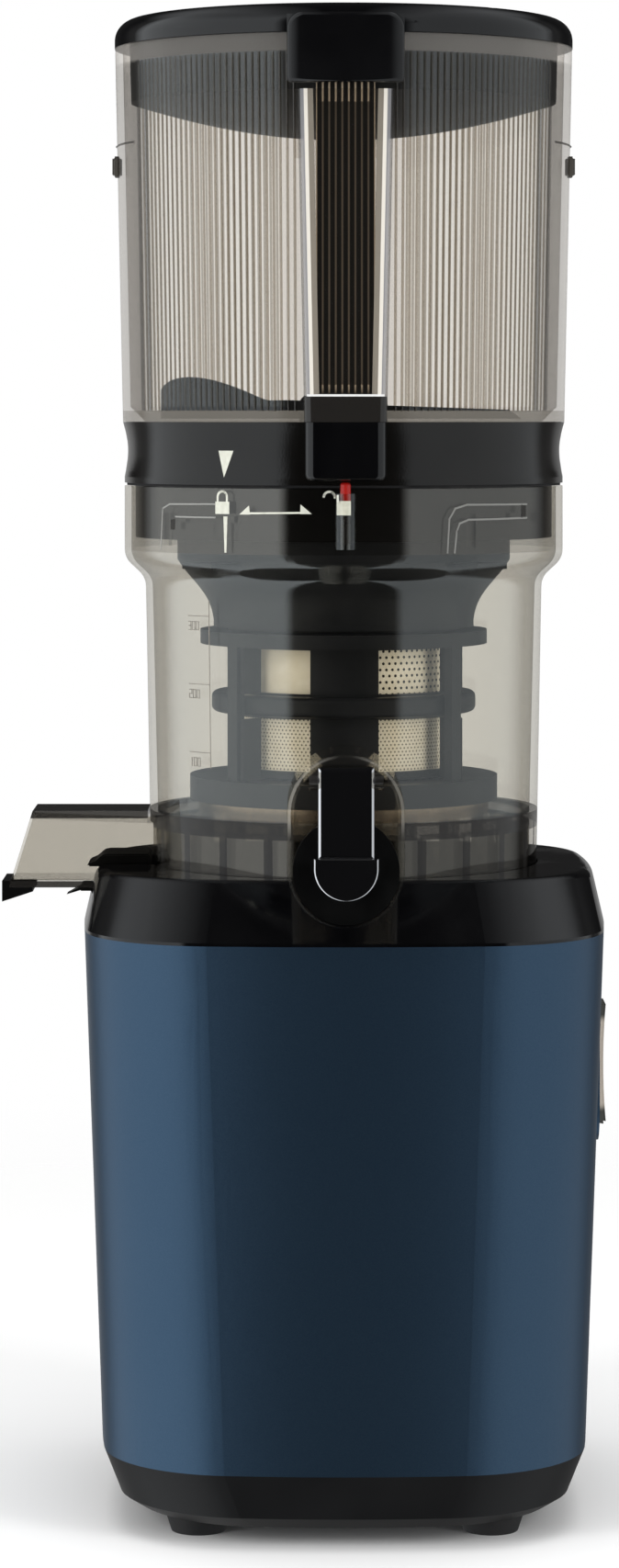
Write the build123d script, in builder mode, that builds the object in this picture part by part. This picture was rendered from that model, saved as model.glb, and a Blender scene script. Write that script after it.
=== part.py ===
from build123d import *
from math import atan2, cos, degrees, pi, radians, sin, sqrt, tan
import os

# Cold press juicer, in millimetres. It is drawn about its drive axis, with +Z up,
# the table at Z = 0 and its front towards -Y. The last section moves the whole
# juicer so that its bounding box is centred over the origin.

# ---------------------------------------------------------------- driving sizes

# Base unit, from the table upwards.
foot_height = 6
tray_height = 19
tray_bend_height = 4
housing_height = 171
cover_band = 1
cover_slope = 18
base_width = 175
base_depth = 180
base_taper = 12
tray_taper = 11
tray_foot_taper = 10
base_corner = 45
base_crown = 7
cover_shelf = 8
cover_rim = 2.6
base_wall = 2.6
seam_lip = 5
lip_gap = 0.4

# Juicing bowl: its zones from the foot upwards, and how far each draws in.
well_depth = 9
bowl_skirt_height = 25.8
bowl_body_height = 76.2
bowl_shoulder_height = 13
bowl_rim_height = 21.3
bowl_neck = 7.2
bowl_draft = 1.8
bowl_wall = 2.3
floor_thickness = 3
bowl_tube_radius = 11.6
bowl_tube_height = 14
ledge_width = 3

# Juice spout at the front of the bowl.
spout_radius = 18.7
spout_rise = 8.2
spout_drop = 18
spout_face = 104
spout_chamber = 15
spout_wall = 2.2
mouth_radius = 14

# Pulp chute at the left of the bowl.
chute_width = 28
chute_reach = 105
chute_slant = 8
chute_wall = 2.2
pulp_hole_length = 12
pulp_hole_width = 16
pulp_hole_start = 19

# Strainer, wiper and funnel.
strainer_radius = 39.5
strainer_wall = 1.8
strainer_sill = 2.5
lower_window = 17.4
middle_band = 8.4
belt_reach = 5.3
upper_window = 14.6
strainer_rim = 6.6
front_rib_width = 23
mesh_thickness = 0.5
wiper_gap = 0.7
wiper_ring_height = 4.7
wiper_post_width = 5
wiper_post_angle = 40
wiper_post_depth = 3.2
blade_thickness = 1.6
wiper_base_margin = 3.5
wiper_base_height = 8
funnel_clearance = 10.7
funnel_brim = 7
funnel_foot_margin = 4.5

# Gear train under the strainer.
gear_rise = 4.2
gear_module = 1.25
sun_teeth = 24
idler_teeth = 16
ring_teeth = 56
gear_height = 6.5
pressure_angle = 20
backlash = 0.3
idler_pin_radius = 3

# Drive shaft and screw.
shaft_radius = 9
shaft_engagement = 34
hex_flats = 13
hex_height = 30
screw_clearance = 0.9
screw_core_radius = 23
screw_neck_radius = 12
screw_head_drop = 9
flight_pitch = 46
flight_turns = 1.9
flight_thickness = 6
squeeze_ribs = 9

# Hopper and its ring.
hopper_height = 127
hopper_floor_thickness = 3
hopper_rim_radius = 77.6
hopper_taper = 2.6
hopper_wall = 2.6
hopper_rim_height = 2
ring_seam = 1.1
ring_height = 20.6
ring_waist_height = 12.1
ring_waist_depth = 1.1
ring_step = 0.6
collar_length = 18.4
collar_wall = 2.4
feed_hole_inner = 22
feed_hole_angle = 130
wing_clearance = 13
wing_height = 14
wing_width = 16

# Bayonet between the hopper ring and the bowl.
bayonet_count = 4
lug_height = 4
lug_arc = 16
track_height = 3
track_arc = 26
unlock_angle = 32

# Front channel with the safety rod.
channel_head_width = 31
channel_foot_width = 26.6
channel_depth = 9
channel_wall = 1.6
channel_drop = 17
rod_width = 19
rod_thickness = 4
rod_travel = 4
lower_housing_width = 26
lock_pin_radius = 1.7
lock_pin_length = 20

# Lid, its hinge at the back and its latch at the front.
lid_height = 10
lid_overhang = 0.2
lid_edge_round = 7
lid_wall = 2.4
lid_skirt = 18
lid_dish_depth = 12
hinge_offset = 8
hinge_rise = 2
hinge_pin_radius = 2
hinge_width = 34
latch_width = 37.8
latch_height = 22.5
latch_thickness = 3.6

# Cap of the juice spout.
lever_width = 17.5
lever_thickness = 4
lever_pivot_rise = 11
lever_head = 4
lever_shoulder_drop = 13.5
lever_foot_drop = 27
cap_radius = 16.9
cap_pin_radius = 1.5

# Rocker switch at the right of the base.
switch_rise = 122
rocker_length = 42.5
rocker_width = 17
recess_length = 54.5
recess_width = 25
rocker_proud = 3.6
rocker_angle = 9

# Fits. Each is the gap on one side.
running_gap = 0.05
sliding_gap = 0.3
seat_gap = 0.15

# ---------------------------------------------------------------- derived places

# Heights, from the table to the lid.
tray_bottom = foot_height
tray_bend = tray_bottom + tray_bend_height
tray_top = tray_bottom + tray_height
switch_height = tray_top + switch_rise
housing_top = tray_top + housing_height
cover_shoulder = housing_top + cover_band
cover_top = cover_shoulder + cover_slope
well_floor = cover_top - well_depth
shaft_bottom = well_floor - shaft_engagement
bowl_skirt = well_floor
bowl_floor = bowl_skirt + bowl_skirt_height
bowl_waist = bowl_floor + bowl_body_height
bowl_shoulder = bowl_waist + bowl_shoulder_height
bowl_top = bowl_shoulder + bowl_rim_height
spout_height = bowl_floor + spout_rise
chute_floor = bowl_skirt + 1
chute_top = bowl_floor + 0.9
ring_bottom = bowl_top + ring_seam
ring_waist = ring_bottom + ring_waist_height
ring_top = ring_bottom + ring_height
collar_bottom = ring_bottom - collar_length
hopper_floor = ring_top - hopper_floor_thickness
hopper_rim = hopper_floor + hopper_height
channel_top = hopper_rim - channel_drop
lid_bottom = hopper_rim + hopper_rim_height
lid_top = lid_bottom + lid_height
hinge_height = lid_bottom + hinge_rise
gear_floor = bowl_floor + gear_rise
strainer_floor = gear_floor + gear_height + 2.7
window_sill = strainer_floor + strainer_sill
belt_bottom = window_sill + lower_window
belt_top = belt_bottom + middle_band
strainer_top = belt_top + upper_window + strainer_rim
funnel_top = collar_bottom - 2 * sliding_gap
screw_taper_start = strainer_top - 1
screw_top = hopper_floor - screw_head_drop
lever_pivot = spout_height + lever_pivot_rise
lever_top = lever_pivot + lever_head
lever_shoulder = spout_height - lever_shoulder_drop
lever_foot = spout_height - lever_foot_drop

# Radii, from the hopper's rim down to the bowl's foot and in to the screw.
lid_radius = hopper_rim_radius + lid_overhang
hopper_foot_radius = hopper_rim_radius - hopper_taper
wing_radius = hopper_foot_radius - wing_clearance
ring_foot_radius = hopper_foot_radius - ring_step
ring_waist_radius = ring_foot_radius - ring_waist_depth
bowl_rim_radius = ring_foot_radius
bowl_waist_radius = bowl_rim_radius - bowl_neck
bowl_foot_radius = bowl_waist_radius - bowl_draft
funnel_top_radius = bowl_waist_radius - funnel_clearance
belt_radius = strainer_radius + belt_reach
wiper_radius = belt_radius + wiper_gap + wiper_post_depth
wiper_base_radius = wiper_radius + wiper_base_margin
screw_radius = strainer_radius - strainer_wall - mesh_thickness - screw_clearance

# Widths of the base unit where its sides change slope.
base_foot_width = base_width - base_taper
tray_bend_width = base_foot_width - tray_taper
tray_foot_width = tray_bend_width - tray_foot_taper
cover_top_width = base_width - cover_shelf
cover_top_depth = 2 * (bowl_foot_radius + cover_rim)


def base_section(height, inset=0.0):
    """Level cut through the base unit: bowed sides with round corners."""
    if height <= tray_bend:
        rise = (height - tray_bottom) / tray_bend_height
        width = tray_foot_width + (tray_bend_width - tray_foot_width) * rise
        depth = width * base_depth / base_width
    elif height <= tray_top:
        rise = (height - tray_bend) / (tray_top - tray_bend)
        width = tray_bend_width + (base_foot_width - tray_bend_width) * rise
        depth = width * base_depth / base_width
    elif height <= housing_top:
        rise = (height - tray_top) / housing_height
        width = base_foot_width + (base_width - base_foot_width) * rise
        depth = width * base_depth / base_width
    elif height <= cover_shoulder:
        width, depth = base_width, base_depth
    else:
        rise = (height - cover_shoulder) / cover_slope
        width = base_width + (cover_top_width - base_width) * rise
        depth = base_depth + (cover_top_depth - base_depth) * rise
    half_x, half_y = width / 2 - inset, depth / 2 - inset
    in_x, in_y = half_x - base_crown, half_y - base_crown
    with BuildSketch(Plane.XY.offset(height)) as section:
        with BuildLine():
            ThreePointArc((-in_x, -in_y), (0, -half_y), (in_x, -in_y))
            ThreePointArc((in_x, -in_y), (half_x, 0), (in_x, in_y))
            ThreePointArc((in_x, in_y), (0, half_y), (-in_x, in_y))
            ThreePointArc((-in_x, in_y), (-half_x, 0), (-in_x, -in_y))
        make_face()
        fillet(section.vertices(), base_corner - inset)
    return section.sketch


# ---------------------------------------------------------------- base unit

screw_circle_x = base_foot_width / 2 - 33.5
screw_circle_y = base_depth / 2 - 40
foot_radius = 11
foot_taper = 2
screw_head_radius = 3.4
screw_head_height = 2.2
screw_shank_radius = 1.75
boss_radius = 4.5
screw_length = 14

with BuildPart() as rubber_feet:
    with Locations(*[(x, y, 0) for x in (-screw_circle_x, screw_circle_x)
                     for y in (-screw_circle_y, screw_circle_y)]):
        Cone(foot_radius - foot_taper, foot_radius, foot_height,
             align=(Align.CENTER, Align.CENTER, Align.MIN))
        Cylinder(screw_head_radius + sliding_gap, foot_height,
                 align=(Align.CENTER, Align.CENTER, Align.MIN), mode=Mode.SUBTRACT)

# Feet stand on the tray's underside, and the tray screws go up through them.
vent_count = 9
vent_pitch = 7
vent_size = (50, 3)
with BuildPart() as bottom_tray:
    loft(sections=[base_section(tray_bottom), base_section(tray_bend)])
    loft(sections=[base_section(tray_bend), base_section(tray_top)])
    loft(sections=[base_section(tray_bend, base_wall),
                   base_section(tray_top, base_wall)], mode=Mode.SUBTRACT)
    with BuildSketch(Plane.XY.offset(tray_bottom)):
        with GridLocations(0, vent_pitch, 1, vent_count):
            SlotOverall(*vent_size)
    extrude(amount=tray_bend_height, mode=Mode.SUBTRACT)
    with BuildSketch(Plane.XY.offset(tray_bottom + base_wall / 2)):
        with GridLocations(2 * screw_circle_x, 2 * screw_circle_y, 2, 2):
            Circle(boss_radius)
    extrude(amount=tray_height - base_wall / 2)
    with BuildSketch(Plane.XY.offset(tray_bottom)):
        with GridLocations(2 * screw_circle_x, 2 * screw_circle_y, 2, 2):
            Circle(screw_shank_radius + running_gap)
    extrude(amount=tray_height, mode=Mode.SUBTRACT)

with BuildPart() as base_screws:
    with GridLocations(2 * screw_circle_x, 2 * screw_circle_y, 2, 2):
        with Locations((0, 0, tray_bottom)):
            Cylinder(screw_shank_radius, tray_height + screw_length,
                     align=(Align.CENTER, Align.CENTER, Align.MIN))
            Cylinder(screw_head_radius, screw_head_height,
                     align=(Align.CENTER, Align.CENTER, Align.MAX))

# Painted housing: an open sleeve with a recess for the switch and a cord inlet.
half_width = base_width / 2
inlet_height = 48
inlet_radius = 6
with BuildPart() as motor_housing:
    loft(sections=[base_section(tray_top), base_section(housing_top)])
    loft(sections=[base_section(tray_top, base_wall),
                   base_section(housing_top, base_wall)], mode=Mode.SUBTRACT)
    with BuildSketch(Plane.YZ.offset(half_width / 2)):
        with Locations((0, switch_height)):
            SlotOverall(recess_length, recess_width, rotation=90)
    extrude(amount=half_width, mode=Mode.SUBTRACT)
    with BuildSketch(Plane.XZ.offset(-base_depth / 4)):
        with Locations((0, inlet_height)):
            Circle(inlet_radius)
    extrude(amount=-base_depth, mode=Mode.SUBTRACT)
    # Corner bosses that the tray screws run into.
    boss_top = tray_top + screw_length + 4
    with GridLocations(2 * screw_circle_x, 2 * screw_circle_y, 2, 2):
        with Locations((0, 0, tray_top)):
            Cylinder(boss_radius, boss_top - tray_top,
                     align=(Align.CENTER, Align.CENTER, Align.MIN))
            Cylinder(screw_shank_radius + running_gap, screw_length + 1,
                     align=(Align.CENTER, Align.CENTER, Align.MIN), mode=Mode.SUBTRACT)
    for side_x in (-1, 1):
        for side_y in (-1, 1):
            with BuildSketch(Plane.XY.offset(tray_top)):
                with Locations(((screw_circle_x + 12) * side_x, (screw_circle_y + 12) * side_y)):
                    Rectangle(26, 3, rotation=45 * side_x * side_y)
            extrude(amount=boss_top - tray_top)
    with BuildPart(mode=Mode.PRIVATE) as outside:
        loft(sections=[base_section(tray_top), base_section(housing_top)])
    add(outside.part, mode=Mode.INTERSECT)

# Gloss cover: a raised rim with a round well that the bowl stands in.
well_radius = bowl_foot_radius + 2 * sliding_gap
well_wall = 2.4
shaft_hole = shaft_radius + 2
notch_width = chute_width + 4
with BuildPart() as top_cover:
    loft(sections=[base_section(housing_top), base_section(cover_shoulder)])
    loft(sections=[base_section(cover_shoulder), base_section(cover_top)])
    fillet(top_cover.faces().sort_by(Axis.Z)[-1].edges(), 4)
    loft(sections=[base_section(housing_top, base_wall),
                   base_section(cover_shoulder, base_wall)], mode=Mode.SUBTRACT)
    loft(sections=[base_section(cover_shoulder, base_wall),
                   base_section(cover_top - base_wall, base_wall)], mode=Mode.SUBTRACT)
    # Trough that the pulp chute lies in, open to the left.
    with BuildSketch(Plane.XY.offset(well_floor - 1 - well_wall)):
        with Locations((-well_radius - 12, 0)):
            Rectangle(50, notch_width + 2 * well_wall)
    extrude(amount=cover_top - well_floor + well_wall - 2)
    with BuildSketch(Plane.XY.offset(well_floor - well_wall)):
        Circle(well_radius + well_wall)
    extrude(amount=cover_top - well_floor + well_wall)
    with BuildSketch(Plane.XY.offset(well_floor)):
        Circle(well_radius)
    extrude(amount=cover_top, mode=Mode.SUBTRACT)
    with BuildSketch(Plane.XY.offset(well_floor - 1)):
        with Locations((-well_radius - 20, 0)):
            Rectangle(80, notch_width)
    extrude(amount=cover_top, mode=Mode.SUBTRACT)
    with BuildSketch(Plane.XY.offset(well_floor)):
        Circle(shaft_hole + 8)
    extrude(amount=-well_wall)
    with BuildSketch(Plane.XY.offset(well_floor)):
        Circle(shaft_hole)
    extrude(amount=-3 * well_wall, mode=Mode.SUBTRACT)
    with BuildPart(mode=Mode.PRIVATE) as cover_outside:
        loft(sections=[base_section(housing_top), base_section(cover_shoulder)])
        loft(sections=[base_section(cover_shoulder), base_section(cover_top)])
        fillet(cover_outside.faces().sort_by(Axis.Z)[-1].edges(), 4)
    add(cover_outside.part, mode=Mode.INTERSECT)
    # Lip that centres the cover in the housing.
    lip_inset = base_wall + lip_gap
    lip = base_section(housing_top, lip_inset) - base_section(housing_top, lip_inset + 1.6)
    extrude(to_extrude=lip, amount=-seam_lip)
    lip_root = base_section(housing_top, base_wall - 0.5) - base_section(
        housing_top, lip_inset + 1.6)
    extrude(to_extrude=lip_root, amount=1.5)

# Motor and gearbox hang from the well's floor on rubber bushes.
gearbox_radius = 52
gearbox_top = well_floor - well_wall - 4
gearbox_height = 46
bush_circle = 42
motor_radius = 42
motor_length = 86
with BuildPart() as gearbox_case:
    with Locations((0, 0, gearbox_top)):
        Cylinder(gearbox_radius, gearbox_height,
                 align=(Align.CENTER, Align.CENTER, Align.MAX))
    fillet(gearbox_case.edges().filter_by(GeomType.CIRCLE), 4)
    with Locations((0, 0, gearbox_top)):
        Cylinder(shaft_radius + running_gap, gearbox_top - shaft_bottom,
                 align=(Align.CENTER, Align.CENTER, Align.MAX), mode=Mode.SUBTRACT)

with BuildPart() as mount_bushes:
    with BuildSketch(Plane.XY.offset(gearbox_top)):
        with PolarLocations(bush_circle, 4, start_angle=45):
            Circle(7)
            Circle(2.2, mode=Mode.SUBTRACT)
    extrude(amount=well_floor - well_wall - gearbox_top)

with BuildPart() as motor_can:
    with Locations((0, 0, gearbox_top - gearbox_height)):
        Cylinder(motor_radius, motor_length,
                 align=(Align.CENTER, Align.CENTER, Align.MAX))
    fillet(motor_can.edges().sort_by(Axis.Z)[0], 6)
    with Locations((0, 0, gearbox_top - gearbox_height - motor_length)):
        Cylinder(12, 8, align=(Align.CENTER, Align.CENTER, Align.MAX))

# Control board on edge behind the motor, on a bracket of the tray.
board_size = (70, 1.6, 60)
board_y = base_depth / 2 - 28
with BuildPart() as control_board:
    with Locations((0, board_y, tray_bend)):
        Box(*board_size, align=(Align.CENTER, Align.CENTER, Align.MIN))
    with Locations((-20, board_y - board_size[1] / 2, tray_bend + 40),
                   (4, board_y - board_size[1] / 2, tray_bend + 54)):
        Box(14, 10, 16, align=(Align.CENTER, Align.MAX, Align.CENTER))

with BuildPart() as interlock_switch:
    with Locations((0, -well_radius + 6, well_floor - well_wall)):
        Box(20, 7, 10, align=(Align.CENTER, Align.CENTER, Align.MAX))

with BuildPart() as cord_gland:
    rear_y = base_section(inlet_height).bounding_box().max.Y
    with BuildSketch(Plane.XZ.offset(-(rear_y - 6))):
        with Locations((0, inlet_height)):
            Circle(inlet_radius - seat_gap)
    extrude(amount=-7)
    with BuildSketch(Plane.XZ.offset(-rear_y - 0.5)):
        with Locations((0, inlet_height)):
            Circle(inlet_radius + 3)
    extrude(amount=-5, taper=12)
    with BuildSketch(Plane.XZ.offset(-(rear_y - 10))):
        with Locations((0, inlet_height)):
            Circle(3.2)
    extrude(amount=-20, mode=Mode.SUBTRACT)

# Rocker switch: bezel in the housing's recess, switch body behind, rocker in front.
recess_x = base_section(switch_height).bounding_box().max.X
bezel_back = recess_x - 12
rocker_pivot_x = recess_x - 6
rocker_pin_radius = 1.5
pin_reach = recess_width / 2 - 1.5
with BuildPart() as rocker_pin:
    with BuildSketch(Plane.XZ.offset(-pin_reach)):
        with Locations((rocker_pivot_x, switch_height)):
            Circle(rocker_pin_radius)
    extrude(amount=2 * pin_reach)

with BuildPart() as switch_bezel:
    with BuildSketch(Plane.YZ.offset(bezel_back)):
        with Locations((0, switch_height)):
            SlotOverall(recess_length - 2 * seat_gap, recess_width - 2 * seat_gap, rotation=90)
    extrude(amount=recess_x - bezel_back + 0.6)
    with BuildSketch(Plane.YZ.offset(recess_x - 1.4)):
        with Locations((0, switch_height)):
            SlotOverall(recess_length - 5, recess_width - 5, rotation=90)
    extrude(amount=4, mode=Mode.SUBTRACT)
    with BuildSketch(Plane.YZ.offset(bezel_back)):
        with Locations((0, switch_height)):
            Rectangle(rocker_width + 2 * sliding_gap, rocker_length + 2 * sliding_gap + 2)
    extrude(amount=14, mode=Mode.SUBTRACT)
    add(rocker_pin.part, mode=Mode.SUBTRACT)

# The rocker's face is hollowed, so that both of its ends stand proud.
rocker_swing = rocker_length / 2
face_radius = 62
with BuildPart() as rocker_button:
    with BuildSketch(Plane.XZ.offset(-rocker_width / 2)):
        with BuildLine():
            end_x = recess_x + rocker_proud
            belly_x = end_x - (face_radius - sqrt(face_radius**2 - rocker_swing**2))
            low, high = switch_height - rocker_swing, switch_height + rocker_swing
            ThreePointArc((end_x, low), (belly_x, switch_height), (end_x, high))
            Line((end_x, high), (rocker_pivot_x - 1, high - 3))
            ThreePointArc((rocker_pivot_x - 1, high - 3),
                          (rocker_pivot_x - 4.5, switch_height),
                          (rocker_pivot_x - 1, low + 3))
            Line((rocker_pivot_x - 1, low + 3), (end_x, low))
        make_face()
    extrude(amount=rocker_width)
    fillet(rocker_button.edges().filter_by(GeomType.LINE).group_by(Axis.X)[-1], 1)
    with BuildSketch(Plane.XZ.offset(-rocker_width)):
        with Locations((rocker_pivot_x, switch_height)):
            Circle(rocker_pin_radius + running_gap)
    extrude(amount=2 * rocker_width, mode=Mode.SUBTRACT)

with BuildPart() as switch_module:
    with Locations((bezel_back, 0, switch_height)):
        Box(14, rocker_width, rocker_length - 6,
            align=(Align.MAX, Align.CENTER, Align.CENTER))

# ---------------------------------------------------------------- juicing bowl

bowl_inside = bowl_rim_radius - bowl_wall
inner_foot = bowl_foot_radius - bowl_wall
waist_inside = bowl_waist_radius - bowl_wall
window_count = 24
skirt_rib = 3
with BuildPart() as juicing_bowl:
    with BuildSketch(Plane.XZ):
        with BuildLine():
            Polyline((bowl_foot_radius, bowl_skirt), (bowl_waist_radius, bowl_waist))
            Spline((bowl_waist_radius, bowl_waist), (bowl_rim_radius, bowl_shoulder),
                   tangents=((0, 1), (0, 1)))
            Polyline((bowl_rim_radius, bowl_shoulder), (bowl_rim_radius, bowl_top),
                     (bowl_inside, bowl_top), (bowl_inside, bowl_shoulder))
            Spline((bowl_inside, bowl_shoulder), (waist_inside, bowl_waist),
                   tangents=((0, -1), (0, -1)))
            Polyline((waist_inside, bowl_waist), (inner_foot, bowl_floor),
                     (bowl_tube_radius, bowl_floor),
                     (bowl_tube_radius, bowl_floor + bowl_tube_height),
                     (shaft_radius + 2 * sliding_gap, bowl_floor + bowl_tube_height),
                     (shaft_radius + 2 * sliding_gap, bowl_skirt),
                     (bowl_tube_radius + 2, bowl_skirt),
                     (bowl_tube_radius + 2, bowl_floor - floor_thickness),
                     (inner_foot, bowl_floor - floor_thickness),
                     (inner_foot, bowl_skirt), (bowl_foot_radius, bowl_skirt))
        make_face()
    revolve(axis=Axis.Z)
    # Ribs inside the skirt carry the floor.
    with BuildSketch(Plane.XY.offset(bowl_skirt)):
        with PolarLocations(inner_foot - 2.5, window_count, start_angle=360 / window_count / 2):
            Rectangle(6, skirt_rib)
    extrude(amount=bowl_floor - floor_thickness - bowl_skirt)
    # Holes for the spout, for the pulp and for the chute that leaves the skirt.
    with BuildSketch(Plane.XZ):
        with Locations((0, spout_height)):
            Circle(spout_radius + running_gap)
            with Locations((0, -spout_radius)):
                Rectangle(2 * spout_radius + 2, 2 * (spout_radius - spout_height + bowl_floor),
                          mode=Mode.SUBTRACT)
    extrude(amount=bowl_rim_radius, mode=Mode.SUBTRACT)
    with BuildSketch(Plane.XY.offset(bowl_skirt - 1)):
        with Locations((-bowl_foot_radius + 8, 0)):
            Rectangle(40, chute_width + 2 * seat_gap)
    extrude(amount=bowl_floor - floor_thickness - bowl_skirt + 1, mode=Mode.SUBTRACT)
    pulp_middle = -pulp_hole_start - pulp_hole_length / 2
    with BuildSketch(Plane.XY.offset(bowl_floor)):
        with Locations((pulp_middle, 0)):
            Rectangle(pulp_hole_length + 0.6, pulp_hole_width + 0.6)
    extrude(amount=-2 * floor_thickness, mode=Mode.SUBTRACT)
    # L-shaped tracks that hold the hopper's lugs.
    track_inner = bowl_inside - 1.1
    for turn in range(bayonet_count):
        start = 360 / bayonet_count * turn - lug_arc / 2 - 45
        with BuildSketch(Plane.XZ.rotated((0, 0, start))):
            with Locations((0, bowl_shoulder + 10)):
                Rectangle(bowl_inside + 0.5, track_height, align=(Align.MIN, Align.MIN))
                Rectangle(track_inner, track_height, align=(Align.MIN, Align.MIN),
                          mode=Mode.SUBTRACT)
        revolve(axis=Axis.Z, revolution_arc=track_arc)
        with BuildSketch(Plane.XZ.rotated((0, 0, start - 3))):
            with Locations((0, bowl_shoulder + 2)):
                Rectangle(bowl_inside + 0.5, track_height + 8, align=(Align.MIN, Align.MIN))
                Rectangle(track_inner, track_height + 8, align=(Align.MIN, Align.MIN),
                          mode=Mode.SUBTRACT)
        revolve(axis=Axis.Z, revolution_arc=2.4)

# Clear ledge on the bowl's floor that the wiper's base runs on.
with BuildPart() as wiper_ledge:
    with BuildSketch(Plane.XY.offset(bowl_floor)):
        Circle(wiper_base_radius - ledge_width)
        Circle(wiper_base_radius - 2 * ledge_width, mode=Mode.SUBTRACT)
    extrude(amount=gear_rise)

# Clear spout: an arched tube with a chamber whose round mouth the cap closes.
chamber_back = spout_face - spout_chamber
mouth_height = spout_height - spout_drop
spout_bore = spout_radius - spout_wall
chamber_slot = 2 * spout_radius + spout_drop
with BuildPart() as juice_spout:
    with BuildSketch(Plane.XZ):
        with Locations((0, spout_height)):
            Circle(spout_radius)
            with Locations((0, -spout_radius)):
                Rectangle(2 * spout_radius + 2, 2 * (spout_radius - spout_height + bowl_floor),
                          mode=Mode.SUBTRACT)
    extrude(amount=chamber_back + 1)
    with BuildSketch(Plane.XZ.offset(chamber_back)):
        with Locations((0, spout_height - spout_drop / 2)):
            SlotOverall(chamber_slot, 2 * spout_radius, rotation=90)
    extrude(amount=spout_chamber)
    fillet(juice_spout.faces().sort_by(Axis.Y)[0].edges(), 1.6)
    with BuildPart(mode=Mode.PRIVATE) as bowl_core:
        Cone(inner_foot + 0.1, waist_inside + 0.1, bowl_waist - bowl_floor,
             align=(Align.CENTER, Align.CENTER, Align.MIN))
    add(bowl_core.part.moved(Location((0, 0, bowl_floor))), mode=Mode.SUBTRACT)
    with BuildSketch(Plane.XZ.offset(inner_foot - 8)):
        with Locations((0, spout_height)):
            Circle(spout_bore)
            with Locations((0, -spout_bore)):
                Rectangle(2 * spout_bore, 2 * (spout_bore - spout_height + bowl_floor) + 4,
                          mode=Mode.SUBTRACT)
    extrude(amount=chamber_back + 4 - inner_foot + 8, mode=Mode.SUBTRACT)
    with BuildSketch(Plane.XZ.offset(chamber_back + spout_wall)):
        with Locations((0, spout_height - spout_drop / 2)):
            SlotOverall(chamber_slot - 2 * spout_wall, 2 * spout_bore, rotation=90)
    extrude(amount=spout_chamber - 2 * spout_wall, mode=Mode.SUBTRACT)
    with BuildSketch(Plane.XZ.offset(spout_face - spout_wall - 1)):
        with Locations((0, mouth_height)):
            Circle(mouth_radius)
    extrude(amount=10, mode=Mode.SUBTRACT)
    # Ears of the cap's pin.
    ear_y = spout_face + 5.5
    for side in (-1, 1):
        with BuildSketch(Plane.YZ.offset(side * (lever_width / 2 + sliding_gap + 1.4))):
            with Locations((-spout_face + 1.5, lever_pivot)):
                Rectangle(ear_y - spout_face + 1.5, 6, align=(Align.MAX, Align.CENTER))
            with Locations((-ear_y, lever_pivot)):
                Circle(3)
        extrude(amount=1.4, both=True)
    with BuildSketch(Plane.YZ.offset(-20)):
        with Locations((-ear_y, lever_pivot)):
            Circle(cap_pin_radius)
    extrude(amount=40, mode=Mode.SUBTRACT)

# Clear pulp chute: a square channel under the bowl's floor with a slanted mouth.
chute_roof = bowl_floor - floor_thickness
with BuildPart() as pulp_chute:
    with BuildSketch(Plane.XZ.offset(-chute_width / 2)):
        Polygon((-bowl_tube_radius - 3, chute_floor), (-bowl_tube_radius - 3, chute_roof),
                (-inner_foot, chute_roof), (-inner_foot, chute_top - 4),
                (-bowl_foot_radius - 0.8, chute_top - 4), (-bowl_foot_radius - 0.8, chute_top),
                (-chute_reach, chute_top),
                (-chute_reach - chute_slant, chute_floor), align=None)
    extrude(amount=chute_width)
    with BuildSketch(Plane.XZ.offset(-chute_width / 2 + chute_wall)):
        inner_left = -chute_reach - 2 * chute_slant
        Polygon((-bowl_tube_radius - 3 - chute_wall, chute_floor + chute_wall),
                (-bowl_tube_radius - 3 - chute_wall, chute_roof - chute_wall),
                (inner_left, chute_top - chute_wall),
                (inner_left, chute_floor + chute_wall), align=None)
    extrude(amount=chute_width - 2 * chute_wall, mode=Mode.SUBTRACT)
    with BuildSketch(Plane.XY.offset(chute_roof)):
        with Locations((pulp_middle, 0)):
            Rectangle(pulp_hole_length, pulp_hole_width)
    extrude(amount=-2 * chute_wall, mode=Mode.SUBTRACT)
    with BuildPart(mode=Mode.PRIVATE) as skirt_outside:
        Cylinder(bowl_foot_radius + 0.7, chute_top - chute_roof + 2,
                 align=(Align.CENTER, Align.CENTER, Align.MIN))
    add(skirt_outside.part.moved(Location((0, 0, chute_roof))), mode=Mode.SUBTRACT)

# Soft lip along the foot of the chute's mouth, and the plug in the chute's floor.
lip_length = 8
with BuildPart() as chute_lip:
    with BuildSketch(Plane.XZ.offset(-chute_width / 2 + 2)):
        end_x = -chute_reach - chute_slant
        Polygon((end_x, chute_floor + 2), (end_x - 2.4, chute_floor + 2),
                (end_x - 2.4, chute_floor - 5), (end_x + lip_length, chute_floor - 1.6),
                (end_x + lip_length, chute_floor), (end_x, chute_floor), align=None)
    extrude(amount=chute_width - 4)
with BuildPart() as pulp_plug:
    plug_left = -half_width - 1.5
    with Locations((plug_left, 0, chute_floor)):
        Box(10, 16, 1.8, align=(Align.MIN, Align.CENTER, Align.MAX))
    with BuildSketch(Plane.XZ.offset(-4)):
        Polygon((plug_left + 1, chute_floor), (plug_left - 5, chute_floor - 3.4),
                (plug_left + 1, chute_floor - 1.6), align=None)
    extrude(amount=8)

# ---------------------------------------------------------------- strainer set

strainer_inside = strainer_radius - strainer_wall
window_heights = ((window_sill, lower_window), (belt_top, upper_window))
rib_half_angle = degrees(front_rib_width / 2 / strainer_radius)
thin_rib = 5
neck_wall = 1.5
belt_inset = 0.7
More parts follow.
